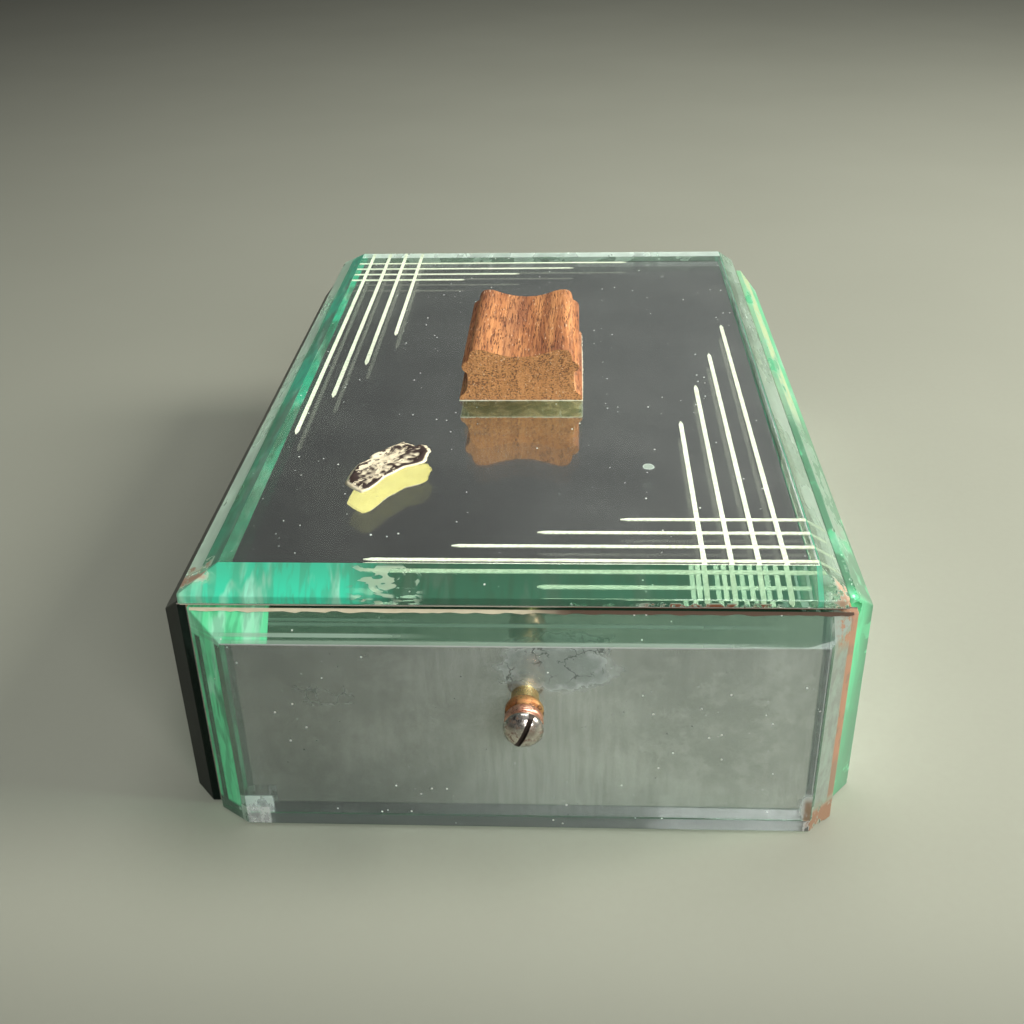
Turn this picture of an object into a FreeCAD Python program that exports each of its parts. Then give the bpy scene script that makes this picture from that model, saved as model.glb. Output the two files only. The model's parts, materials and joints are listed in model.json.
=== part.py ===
import FreeCAD, Part
import math
import os
import re
import Sketcher

# A wind-up music box: a wooden case clad in bevelled plates of silvered glass, a hinged glass lid
# with a wooden handle block, a winding knob through the front, and a cylinder movement inside.
# Millimetres. X runs across the box, Y from the front to the back and Z up. The origin is the
# middle of the flat underside of the base felt.

SIZES = {
    # glass plates
    "glass_thick": 6.4,
    "bevel_wide": 5.4,
    "lid_left_bevel": 8.0,
    "front_left_bevel": 7.0,
    "bevel_drop": 4.8,
    "corner_round": 1.0,
    "film_thick": 0.2,
    "film_gap": 0.05,
    # outside of the box
    "case_wide": 146.4,
    "case_deep": 218.0,
    "total_high": 61.4,
    "plate_bottom": 0.5,
    "end_plate_wide": 133.4,
    "side_setback": 2.2,
    "left_plate_shift": -2.0,
    "right_plate_shift": 1.0,
    "lid_wide": 133.4,
    "lid_shift": -1.0,
    "lid_gap": 1.0,
    "front_shift": 0.9,
    # engraved lines under the lid glass
    "line_wide": 1.4,
    "line_deep": 0.15,
    "leaf_gap": 0.04,
    "running_gap": 0.15,
    "card_inset": 0.5,
    "line_pitch": 5.5,
    "line_margin": 11.0,
    "line_count": 4.0,
    "long_line": 140.0,
    "long_line_step": 21.5,
    "short_line": 97.0,
    "short_line_step": 17.7,
    # wooden case
    "felt_thick": 1.2,
    "felt_inset": 3.0,
    "base_thick": 5.0,
    "wall_thick": 5.5,
    "partition_back": -4.0,
    "partition_thick": 4.0,
    "partition_high": 42.0,
    "lining_thick": 1.0,
    "lining_high": 38.0,
    # lid
    "card_thick": 0.45,
    "board_thick": 4.0,
    "board_play": 0.7,
    "lid_felt_thick": 0.6,
    "block_wide": 31.4,
    "block_deep": 44.2,
    "block_high": 14.0,
    "block_front": 21.2,
    "block_shift": -1.6,
    "block_waist": 27.0,
    "block_foot": 1.4,
    "block_bead": 1.5,
    "block_bead_high": 9.2,
    "block_dip": 2.1,
    "block_dip_wide": 19.0,
    # hinge
    "hinge_long": 96.0,
    "knuckle_count": 12.0,
    "knuckle_gap": 0.12,
    "knuckle_radius": 1.5,
    "pin_radius": 0.7,
    "pin_play": 0.06,
    "leaf_thick": 0.3,
    "case_leaf_wide": 9.0,
    "lid_leaf_wide": 18.0,
    "hinge_set": 2.0,
    "hinge_screw_count": 4.0,
    "hinge_screw_head": 2.0,
    "hinge_screw_shank": 0.9,
    "hinge_screw_long": 3.2,
    # winding knob and its arbor
    "arbor_across": 2.0,
    "arbor_high": 33.2,
    "arbor_radius": 1.6,
    "arbor_play": 0.06,
    "bush_radius": 2.9,
    "collar_radius": 3.95,
    "collar_long": 3.0,
    "neck_radius": 3.2,
    "neck_long": 0.4,
    "screw_head_radius": 4.1,
    "screw_head_long": 3.0,
    "screw_slot_wide": 0.8,
    "screw_slot_deep": 1.3,
    "screw_shank_radius": 0.9,
    "screw_shank_long": 8.0,
    # movement
    "bed_left": -34.0,
    "bed_right": 31.0,
    "bed_front": -93.0,
    "bed_back": -11.0,
    "bed_thick": 3.0,
    "bracket_thick": 3.0,
    "bracket_wide": 16.0,
    "front_bracket_at": -88.5,
    "rear_bracket_at": -17.5,
    "ratchet_radius": 5.0,
    "ratchet_tooth": 1.1,
    "ratchet_teeth": 12.0,
    "ratchet_thick": 1.5,
    "barrel_front": -84.0,
    "barrel_long": 14.0,
    "barrel_radius": 10.6,
    "barrel_wall": 0.8,
    "drum_front": -68.5,
    "drum_long": 44.0,
    "drum_radius": 7.5,
    "drum_wall": 0.8,
    "drum_pin_radius": 0.2,
    "drum_pin_high": 0.7,
    "great_wheel_at": -22.4,
    "great_wheel_radius": 10.8,
    "great_wheel_teeth": 56.0,
    "wheel_thick": 1.2,
    "drum_shaft_radius": 1.2,
    "click_rise": 4.5,
    "tooth_high": 0.75,
    "pinion_teeth": 14.0,
    "pinion_radius": 2.4,
    "pinion_across": 12.12,
    "pinion_drop": 7.0,
    "pinion_arbor_radius": 0.6,
    "worm_wheel_at": -30.0,
    "worm_wheel_radius": 4.35,
    "worm_wheel_teeth": 20.0,
    "worm_wheel_thick": 1.0,
    "worm_tooth_high": 0.9,
    "worm_across": 6.8,
    "worm_root_radius": 1.3,
    "worm_tip_radius": 2.15,
    "worm_pitch": 1.57,
    "worm_turns": 4.0,
    "worm_arbor_radius": 0.5,
    "fan_wing_wide": 4.2,
    "fan_wing_high": 4.0,
    "fan_wing_thick": 0.3,
    "fan_bottom": 35.4,
    "brake_disc_radius": 1.8,
    "brake_disc_high": 40.4,
    "comb_teeth": 36.0,
    "comb_pitch": 1.16,
    "comb_slot": 0.28,
    "comb_tooth_long": 15.0,
    "comb_root_long": 9.0,
    "comb_thick": 1.4,
    "comb_clear": 0.25,
    "bolt_radius": 1.2,
    "bolt_head_radius": 2.2,
    "bolt_head_high": 1.5,
    "cover_thick": 2.0,
    "cover_bottom": 47.1,
    "rail_wide": 4.0,
    "rail_high": 5.0,
    "stop_pin_radius": 1.0,
    "stop_pin_across": 36.0,
    "stop_pin_at": -30.0,
    "stop_pin_bottom": 14.0,
    "stop_pin_play": 0.35,
}

TURN = 360.0
TOUCHING = 1e-6
X_AXIS = FreeCAD.Vector(1, 0, 0)
Y_AXIS = FreeCAD.Vector(0, 1, 0)
Z_AXIS = FreeCAD.Vector(0, 0, 1)
UPRIGHT = FreeCAD.Rotation()
ALONG_Y = FreeCAD.Rotation(X_AXIS, -90)
ALONG_X = FreeCAD.Rotation(Y_AXIS, 90)
FACING_FRONT = FreeCAD.Rotation(X_AXIS, 90)
FACING_BACK = FreeCAD.Rotation(Z_AXIS, 180) * FACING_FRONT
FACING_RIGHT = FreeCAD.Rotation(Z_AXIS, 90) * FACING_FRONT
FACING_LEFT = FreeCAD.Rotation(Z_AXIS, -90) * FACING_FRONT

# Derived places, written once as expressions of the driving sizes.
PLATE_TOP = "(total_high - glass_thick - lid_gap)"
PLATE_HIGH = "(total_high - glass_thick - lid_gap - plate_bottom)"
# a wall plate is cut from a taller blank that still has its foot bevel
BLANK_HIGH = "(total_high - glass_thick - lid_gap - plate_bottom + bevel_wide)"
BLANK_MIDDLE = f"({PLATE_TOP} - {BLANK_HIGH} / 2)"
LID_GLASS_BOTTOM = "(total_high - glass_thick)"
LID_FILM_BOTTOM = "(total_high - glass_thick - film_gap - film_thick)"
BOARD_TOP = "(total_high - glass_thick - film_gap - film_thick - card_thick)"
LID_DEEP = "(case_deep - 2 * bevel_drop)"
SKIN = "(glass_thick + film_gap + film_thick + film_gap)"
WOOD_WIDE = "(case_wide - 2 * (glass_thick + film_gap + film_thick + film_gap))"
WOOD_DEEP = "(case_deep - 2 * (glass_thick + film_gap + film_thick + film_gap))"
FLOOR = "(felt_thick + base_thick)"
BED_TOP = "(felt_thick + base_thick + bed_thick)"
INSIDE_WIDE = WOOD_WIDE + " - 2 * wall_thick"
INSIDE_DEEP = WOOD_DEEP + " - 2 * wall_thick"
HINGE_Y = "(case_deep / 2 - bevel_drop + hinge_set)"
HINGE_Z = "(total_high - glass_thick - lid_gap + leaf_thick + leaf_gap)"

doc = FreeCAD.newDocument("music_box")
sheet = doc.addObject("Spreadsheet::Sheet", "sizes")
parts = []


def fill_sheet():
    for row, (alias, value) in enumerate(SIZES.items(), start=1):
        sheet.set(f"A{row}", alias.replace("_", " "))
        sheet.set(f"B{row}", str(value))
        sheet.setAlias(f"B{row}", alias)
    doc.recompute()


def size(alias):
    """The number that a sheet cell holds."""
    return float(sheet.get(alias))


def formula(text):
    """An expression with each alias in it pointed at the sheet."""
    return re.sub(r"[a-z_]{3,}", lambda m: f"sizes.{m[0]}" if m[0] in SIZES else m[0], str(text))


def bind(thing, **expressions):
    for name, text in expressions.items():
        thing.setExpression(name.replace("__", "."), formula(text))


def place(thing, spot=(0, 0, 0), turn=UPRIGHT):
    """Turns a piece and binds its place to expressions."""
    thing.Placement = FreeCAD.Placement(FreeCAD.Vector(0, 0, 0), turn)
    for letter, text in zip("xyz", spot):
        thing.setExpression(f"Placement.Base.{letter}", formula(text))
    return thing


def keep(thing, label):
    """Names a finished sub-part."""
    thing.Label = label
    parts.append(thing)
    return thing


def block(name, low, extent):
    """A box from its low corner and its length along X, Y and Z."""
    box = doc.addObject("Part::Box", name)
    bind(box, Length=extent[0], Width=extent[1], Height=extent[2])
    return place(box, low)


def rod(name, radius, length, spot, turn=UPRIGHT):
    """A cylinder that starts at spot and runs along the turned Z axis."""
    cylinder = doc.addObject("Part::Cylinder", name)
    bind(cylinder, Radius=radius, Height=length)
    return place(cylinder, spot, turn)


def cut(name, base, *tools):
    """base with every tool taken away."""
    for number, tool in enumerate(tools, start=1):
        result = doc.addObject("Part::Cut", name if number == len(tools) else f"{name}_step{number}")
        result.Base = base
        result.Tool = tool
        base = result
    return base


def fuse(name, *pieces):
    result = doc.addObject("Part::MultiFuse", name)
    result.Shapes = list(pieces)
    result.Refine = True
    return result


def group(name, pieces):
    """Separate identical solids that share one node."""
    result = doc.addObject("Part::Compound", name)
    result.Links = list(pieces)
    return result


def origin_feature(body, role):
    return next(feature for feature in body.Origin.OriginFeatures if feature.Role == role)


def sketch_on(body, name, role="XY_Plane"):
    sketch = body.newObject("Sketcher::SketchObject", name)
    sketch.AttachmentSupport = [(origin_feature(body, role), "")]
    sketch.MapMode = "FlatFace"
    return sketch


def centred_rectangle(sketch, wide, high):
    """A rectangle about the sketch's origin, bound to two expressions."""
    corners = [FreeCAD.Vector(x, y, 0) for x, y in ((-9, -9), (9, -9), (9, 9), (-9, 9))]
    for start, end in zip(corners, corners[1:] + corners[:1]):
        sketch.addGeometry(Part.LineSegment(start, end), False)
    for side in range(4):
        sketch.addConstraint(Sketcher.Constraint("Coincident", side, 2, (side + 1) % 4, 1))
        sketch.addConstraint(Sketcher.Constraint("Vertical" if side % 2 else "Horizontal", side))
    sketch.addConstraint(Sketcher.Constraint("Symmetric", 0, 1, 2, 1, -1, 1))
    across = sketch.addConstraint(Sketcher.Constraint("DistanceX", 0, 1, 0, 2, 18))
    sketch.renameConstraint(across, "wide")
    along = sketch.addConstraint(Sketcher.Constraint("DistanceY", 1, 1, 1, 2, 18))
    sketch.renameConstraint(along, "high")
    bind(sketch, Constraints__wide=wide, Constraints__high=high)


def flat_edges(shape, level):
    """Names of the edges that lie in the plane at one Z level."""
    found = []
    for number, edge in enumerate(shape.Edges, start=1):
        if all(abs(vertex.Z - level) < TOUCHING for vertex in edge.Vertexes):
            found.append(f"Edge{number}")
    return found


def upright_edges(shape):
    """Names of the straight edges that run along Z."""
    found = []
    for number, edge in enumerate(shape.Edges, start=1):
        ends = [vertex.Point for vertex in edge.Vertexes]
        if len(ends) == 2 and (ends[0] - ends[1]).cross(Z_AXIS).Length < TOUCHING:
            found.append(f"Edge{number}")
    return found


# ---------------------------------------------------------------- glass plates


def left_edges(shape, level):
    """Names of the edges of the plane at one Z level that run along Y on the left."""
    return [
        name for name in flat_edges(shape, level)
        if abs(shape.getElement(name).BoundBox.XMax - shape.BoundBox.XMin) < TOUCHING
    ]


def glass_plate(name, wide, high, left_bevel="bevel_wide"):
    """A rectangular plate, its back on Z = 0, with a polished bevel ground round its face."""
    body = doc.addObject("PartDesign::Body", name)
    outline = sketch_on(body, f"{name}_outline")
    centred_rectangle(outline, wide, high)
    slab = body.newObject("PartDesign::Pad", f"{name}_slab")
    slab.Profile = outline
    bind(slab, Length="glass_thick")
    doc.recompute()
    level = size("glass_thick")
    left = left_edges(slab.Shape, level)
    others = [edge for edge in flat_edges(slab.Shape, level) if edge not in left]
    bevel = body.newObject("PartDesign::Chamfer", f"{name}_bevel")
    bevel.Base = (slab, others)
    bevel.ChamferType = "Two distances"
    bind(bevel, Size="bevel_drop", Size2="bevel_wide")
    doc.recompute()
    last = body.newObject("PartDesign::Chamfer", f"{name}_left_bevel")
    last.Base = (bevel, left_edges(bevel.Shape, level))
    last.ChamferType = "Two distances"
    bind(last, Size="bevel_drop", Size2=left_bevel)
    doc.recompute()
    rounded = body.newObject("PartDesign::Fillet", f"{name}_corners")
    rounded.Base = (last, upright_edges(last.Shape))
    bind(rounded, Radius="corner_round")
    body.Tip = rounded
    doc.recompute()
    return body


def wall_plate(name, wide, left_bevel="bevel_wide"):
    """A plate that stands on the table. Its foot bevel is sawn off, which leaves a square foot."""
    body = glass_plate(name, wide, BLANK_HIGH, left_bevel)
    saw = body.newObject("PartDesign::SubtractiveBox", f"{name}_foot_cut")
    bind(saw, Length=f"{wide} + 2 * bevel_wide", Width="2 * bevel_wide", Height="3 * glass_thick")
    place(saw, (f"-({wide}) / 2 - bevel_wide", f"-{BLANK_HIGH} / 2 - bevel_wide", "-glass_thick"))
    body.Tip = saw
    return body


def plate_hole(body, radius):
    """A drilled hole through a plate on the winding arbor's line."""
    hole = body.newObject("PartDesign::SubtractiveCylinder", f"{body.Name}_hole")
    bind(hole, Radius=radius, Height="2 * glass_thick")
    place(hole, ("arbor_across - front_shift", f"arbor_high - {BLANK_MIDDLE}", "-glass_thick / 2"))
    body.Tip = hole


def engraved_line(body, name, long_way, number, corner):
    """One straight groove under the glass. corner is 1 at the front right and -1 at the back left."""
    groove = body.newObject("PartDesign::SubtractiveBox", name)
    edge_gap = f"(line_margin + {number} * line_pitch)"
    if long_way:
        length = f"(long_line - {number} * long_line_step)"
        across = f"(lid_wide / 2 - {edge_gap})"
        low_x = f"{'' if corner > 0 else '-'}{across} - line_wide / 2"
        low_y = f"-{LID_DEEP} / 2" if corner > 0 else f"{LID_DEEP} / 2 - {length}"
        bind(groove, Length="line_wide", Width=length, Height="2 * line_deep")
    else:
        length = f"(short_line - {number} * short_line_step)"
        low_x = f"lid_wide / 2 - {length}" if corner > 0 else "-lid_wide / 2"
        along = f"({LID_DEEP} / 2 - {edge_gap})"
        low_y = f"{'-' if corner > 0 else ''}{along} - line_wide / 2"
        bind(groove, Length=length, Width="line_wide", Height="2 * line_deep")
    place(groove, (low_x, low_y, "-line_deep"))
    body.Tip = groove


def make_glass():
    lid = glass_plate("lid_glass", "lid_wide", LID_DEEP, "lid_left_bevel")
    for number in range(int(size("line_count"))):
        for corner, word in ((1, "front"), (-1, "back")):
            engraved_line(lid, f"{word}_long_line_{number}", True, number, corner)
            engraved_line(lid, f"{word}_short_line_{number}", False, number, corner)
    keep(place(lid, ("lid_shift", 0, LID_GLASS_BOTTOM)), "lid_glass")

    front = wall_plate("front_glass", "end_plate_wide", "front_left_bevel")
    plate_hole(front, "bush_radius")
    keep(
        place(front, ("front_shift", "-case_deep / 2 + glass_thick", BLANK_MIDDLE), FACING_FRONT),
        "front_glass",
    )

    back = wall_plate("back_glass", "end_plate_wide")
    keep(place(back, (0, "case_deep / 2 - glass_thick", BLANK_MIDDLE), FACING_BACK), "back_glass")

    side_long = f"{WOOD_DEEP} - 2 * side_setback"
    left = wall_plate("left_glass", side_long)
    keep(
        place(left, ("-case_wide / 2 + glass_thick", "left_plate_shift", BLANK_MIDDLE), FACING_LEFT),
        "left_glass",
    )
    right = wall_plate("right_glass", side_long)
    keep(
        place(right, ("case_wide / 2 - glass_thick", "right_plate_shift", BLANK_MIDDLE), FACING_RIGHT),
        "right_glass",
    )


def make_silvering():
    """The silver and backing paint behind each plate."""
    wall_films = []
    low = "plate_bottom"
    end_wide = "end_plate_wide"
    front = block(
        "front_film",
        ("front_shift - end_plate_wide / 2", "-case_deep / 2 + glass_thick + film_gap", low),
        (end_wide, "film_thick", PLATE_HIGH),
    )
    hole = rod(
        "front_film_hole", "bush_radius", "4 * glass_thick",
        ("arbor_across", "-case_deep / 2", "arbor_high"), ALONG_Y,
    )
    wall_films.append(cut("front_film_drilled", front, hole))
    wall_films.append(
        block(
            "back_film",
            ("-end_plate_wide / 2", "case_deep / 2 - glass_thick - film_gap - film_thick", low),
            (end_wide, "film_thick", PLATE_HIGH),
        )
    )
    side_long = f"({WOOD_DEEP} - 2 * side_setback)"
    for name, low_x, shift in (
        ("left_film", "-case_wide / 2 + glass_thick + film_gap", "left_plate_shift"),
        ("right_film", "case_wide / 2 - glass_thick - film_gap - film_thick", "right_plate_shift"),
    ):
        low_y = f"{shift} - {side_long} / 2"
        wall_films.append(block(name, (low_x, low_y, low), ("film_thick", side_long, PLATE_HIGH)))
    keep(group("wall_silvering", wall_films), "wall_silvering")


# ---------------------------------------------------------------- wooden case


def make_case():
    wood_low = (f"-{WOOD_WIDE} / 2", f"-{WOOD_DEEP} / 2")
    keep(
        block(
            "base_felt",
            (f"{wood_low[0]} + felt_inset", f"{wood_low[1]} + felt_inset", 0),
            (f"{WOOD_WIDE} - 2 * felt_inset", f"{WOOD_DEEP} - 2 * felt_inset", "felt_thick"),
        ),
        "base_felt",
    )
    keep(
        block("base_board", (*wood_low, "felt_thick"), (WOOD_WIDE, WOOD_DEEP, "base_thick")),
        "base_board",
    )

    wall_high = f"({PLATE_TOP} - {FLOOR})"
    front = block("front_wall_blank", (*wood_low, FLOOR), (WOOD_WIDE, "wall_thick", wall_high))
    hole = rod(
        "front_wall_hole", "bush_radius", "case_deep / 5",
        ("arbor_across", "-case_deep / 2", "arbor_high"), ALONG_Y,
    )
    keep(cut("front_wall", front, hole), "front_wall")

    back = block(
        "back_wall_blank",
        (wood_low[0], f"{WOOD_DEEP} / 2 - wall_thick", FLOOR),
        (WOOD_WIDE, "wall_thick", wall_high),
    )
    keep(
        cut("back_wall", back, *hinge_screw_solids("back_wall_pilot", CASE_SCREW_Y, CASE_SCREW_TOP)),
        "back_wall",
    )

    side_deep = f"({INSIDE_DEEP})"
    for label, low_x in (("left_wall", wood_low[0]), ("right_wall", f"{WOOD_WIDE} / 2 - wall_thick")):
        keep(
            block(label, (low_x, f"-{side_deep} / 2", FLOOR), ("wall_thick", side_deep, wall_high)),
            label,
        )

    keep(
        block(
            "partition",
            (f"-({INSIDE_WIDE}) / 2", "partition_back - partition_thick", FLOOR),
            (INSIDE_WIDE, "partition_thick", "partition_high"),
        ),
        "partition",
    )


def make_tray_lining():
    """Five flat felt panels that line the storage bay behind the partition."""
    left = f"-({INSIDE_WIDE}) / 2"
    wide = f"({INSIDE_WIDE})"
    front = "partition_back"
    deep = f"(({INSIDE_DEEP}) / 2 - partition_back)"
    above = f"({FLOOR} + lining_thick)"
    inner_deep = f"({deep} - 2 * lining_thick)"
    panels = [
        block("lining_floor", (left, front, FLOOR), (wide, deep, "lining_thick")),
        block("lining_front", (left, front, above), (wide, "lining_thick", "lining_high")),
        block(
            "lining_back",
            (left, f"{front} + {deep} - lining_thick", above),
            (wide, "lining_thick", "lining_high"),
        ),
        block(
            "lining_left",
            (left, f"{front} + lining_thick", above),
            ("lining_thick", inner_deep, "lining_high"),
        ),
        block(
            "lining_right", (f"-({left}) - lining_thick", f"{front} + lining_thick", above),
            ("lining_thick", inner_deep, "lining_high"),
        ),
    ]
    keep(group("tray_lining", panels), "tray_lining")


# ---------------------------------------------------------------- lid


def make_handle_block():
    """A short length of moulding: foot, hollow waist, bead and a saddle hollowed across the top."""
    middle = "block_shift"
    back = "block_front + block_deep"
    front = "-block_front"
    waist = block(
        "block_waist_piece", (f"{middle} - block_waist / 2", front, "total_high"),
        ("block_waist", "block_deep", "block_high"),
    )
    foot = block(
        "block_foot_piece", (f"{middle} - block_wide / 2", front, "total_high"),
        ("block_wide", "block_deep", "block_foot"),
    )
    pieces = [waist, foot]
    for side, sign in (("left", "-"), ("right", "+")):
        pieces.append(
            rod(
                f"block_bead_{side}", "block_bead", "block_deep",
                (f"{middle} {sign} block_waist / 2", front, "total_high + block_bead_high"), ALONG_Y,
            )
        )
    body = fuse("block_moulding", *pieces)
    radius = "((block_dip_wide * block_dip_wide / 4 + block_dip * block_dip) / (2 * block_dip))"
    saddle = rod(
        "block_saddle", radius, "block_deep + 2",
        (middle, f"{front} - 1", f"total_high + block_high - block_dip + {radius}"), ALONG_Y,
    )
    keep(cut("handle_block", body, saddle), "handle_block")


def make_lid_inside():
    lid_left = "lid_shift - lid_wide / 2"
    lid_front = f"-{LID_DEEP} / 2"
    keep(
        block(
            "lid_silvering",
            (lid_left, lid_front, LID_FILM_BOTTOM),
            ("lid_wide", LID_DEEP, "film_thick"),
        ),
        "lid_silvering",
    )
    leaf_front = f"({HINGE_Y} - lid_leaf_wide)"
    card = block(
        "lid_card_blank", (f"{lid_left} + card_inset", f"{lid_front} + card_inset", BOARD_TOP),
        ("lid_wide - 1", f"{LID_DEEP} - 1", "card_thick"),
    )
    bay = block(
        "lid_card_hinge_bay", ("-hinge_long / 2 - 0.5", f"{leaf_front} - 0.2", BOARD_TOP),
        ("hinge_long + 1", "lid_leaf_wide * 2", "card_thick"),
    )
    keep(cut("lid_card", card, bay), "lid_card")

    board_wide = f"({INSIDE_WIDE} - 2 * board_play)"
    board_deep = f"({INSIDE_DEEP} - 2 * board_play)"
    board = block(
        "lid_board_blank", (f"-{board_wide} / 2", f"-{board_deep} / 2", f"{BOARD_TOP} - board_thick"),
        (board_wide, board_deep, "board_thick"),
    )
    keep(
        cut("lid_board", board, *hinge_screw_solids("lid_board_pilot", LID_SCREW_Y, LID_SCREW_TOP)),
        "lid_board",
    )
    keep(
        block(
            "lid_lining",
            (
                f"-{board_wide} / 2 + 1",
                f"-{board_deep} / 2 + 1",
                f"{BOARD_TOP} - board_thick - lid_felt_thick",
            ),
            (f"{board_wide} - 2", f"{board_deep} - 2", "lid_felt_thick"),
        ),
        "lid_lining",
    )


# ---------------------------------------------------------------- hinge

CASE_SCREW_Y = f"({WOOD_DEEP} / 2 - wall_thick / 2)"
CASE_SCREW_TOP = f"({PLATE_TOP} + leaf_thick)"
LID_SCREW_Y = f"({HINGE_Y} - lid_leaf_wide + 3.5)"
LID_SCREW_TOP = f"({HINGE_Z} + leaf_gap + leaf_thick)"


def hinge_screw_solids(name, across, top):
    """Flat-headed screws along a leaf, pointing down, with their heads flush with the leaf."""
    screws = []
    count = int(size("hinge_screw_count"))
    for number in range(count):
        spot_x = f"hinge_long * ({number} + 0.5) / hinge_screw_count - hinge_long / 2"
        head = doc.addObject("Part::Cone", f"{name}_head_{number}")
        bind(
            head,
            Radius1="hinge_screw_shank",
            Radius2="hinge_screw_head",
            Height="hinge_screw_head - hinge_screw_shank",
        )
        place(head, (spot_x, across, f"{top} - hinge_screw_head + hinge_screw_shank"))
        shank = rod(
            f"{name}_shank_{number}", "hinge_screw_shank", "hinge_screw_long - 1",
            (spot_x, across, f"{top} - hinge_screw_long"),
        )
        screws.append(fuse(f"{name}_{number}", head, shank))
    return screws


def hinge_leaf(label, first, leaf_low, leaf_wide, screw_name, screw_y, screw_top):
    """A thin leaf with every other knuckle of the hinge, starting at the first or second."""
    count = int(size("knuckle_count"))
    step = "(hinge_long / knuckle_count)"
    plate = block(
        f"{label}_plate", ("-hinge_long / 2", f"{HINGE_Y} - {leaf_wide}", leaf_low),
        ("hinge_long", leaf_wide, "leaf_thick"),
    )
    knuckles = []
    notches = []
    for number in range(count):
        start = f"-hinge_long / 2 + {number} * {step}"
        if number % 2 == first:
            knuckles.append(
                rod(
                    f"{label}_knuckle_{number}", "knuckle_radius", f"{step} - knuckle_gap",
                    (f"{start} + knuckle_gap / 2", HINGE_Y, HINGE_Z), ALONG_X,
                )
            )
        else:
            notches.append(
                rod(
                    f"{label}_notch_{number}", "knuckle_radius + running_gap", f"{step} + knuckle_gap",
                    (f"{start} - knuckle_gap / 2", HINGE_Y, HINGE_Z), ALONG_X,
                )
            )
    solid = fuse(f"{label}_solid", cut(f"{label}_notched", plate, *notches), *knuckles)
    bore = rod(
        f"{label}_bore", "pin_radius + pin_play", "hinge_long + 2",
        ("-hinge_long / 2 - 1", HINGE_Y, HINGE_Z), ALONG_X,
    )
    screws = hinge_screw_solids(screw_name, screw_y, screw_top)
    keep(cut(label, solid, bore, *screws), label)


def make_hinge():
    hinge_leaf(
        "hinge_case_leaf", 0, PLATE_TOP, "case_leaf_wide",
        "case_leaf_hole", CASE_SCREW_Y, CASE_SCREW_TOP,
    )
    hinge_leaf(
        "hinge_lid_leaf", 1, f"{HINGE_Z} + leaf_gap", "lid_leaf_wide",
        "lid_leaf_hole", LID_SCREW_Y, LID_SCREW_TOP,
    )
    pin = rod("hinge_pin", "pin_radius", "hinge_long", ("-hinge_long / 2", HINGE_Y, HINGE_Z), ALONG_X)
    keep(pin, "hinge_pin")
    keep(
        group("hinge_case_screws", hinge_screw_solids("case_screw", CASE_SCREW_Y, CASE_SCREW_TOP)),
        "hinge_case_screws",
    )
    keep(
        group("hinge_lid_screws", hinge_screw_solids("lid_screw", LID_SCREW_Y, LID_SCREW_TOP)),
        "hinge_lid_screws",
    )


# ---------------------------------------------------------------- winding knob

KNOB_BACK = "(-case_deep / 2 - running_gap)"


def on_arbor(along):
    """A place on the winding arbor's axis, along Y."""
    return ("arbor_across", along, "arbor_high")


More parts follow.
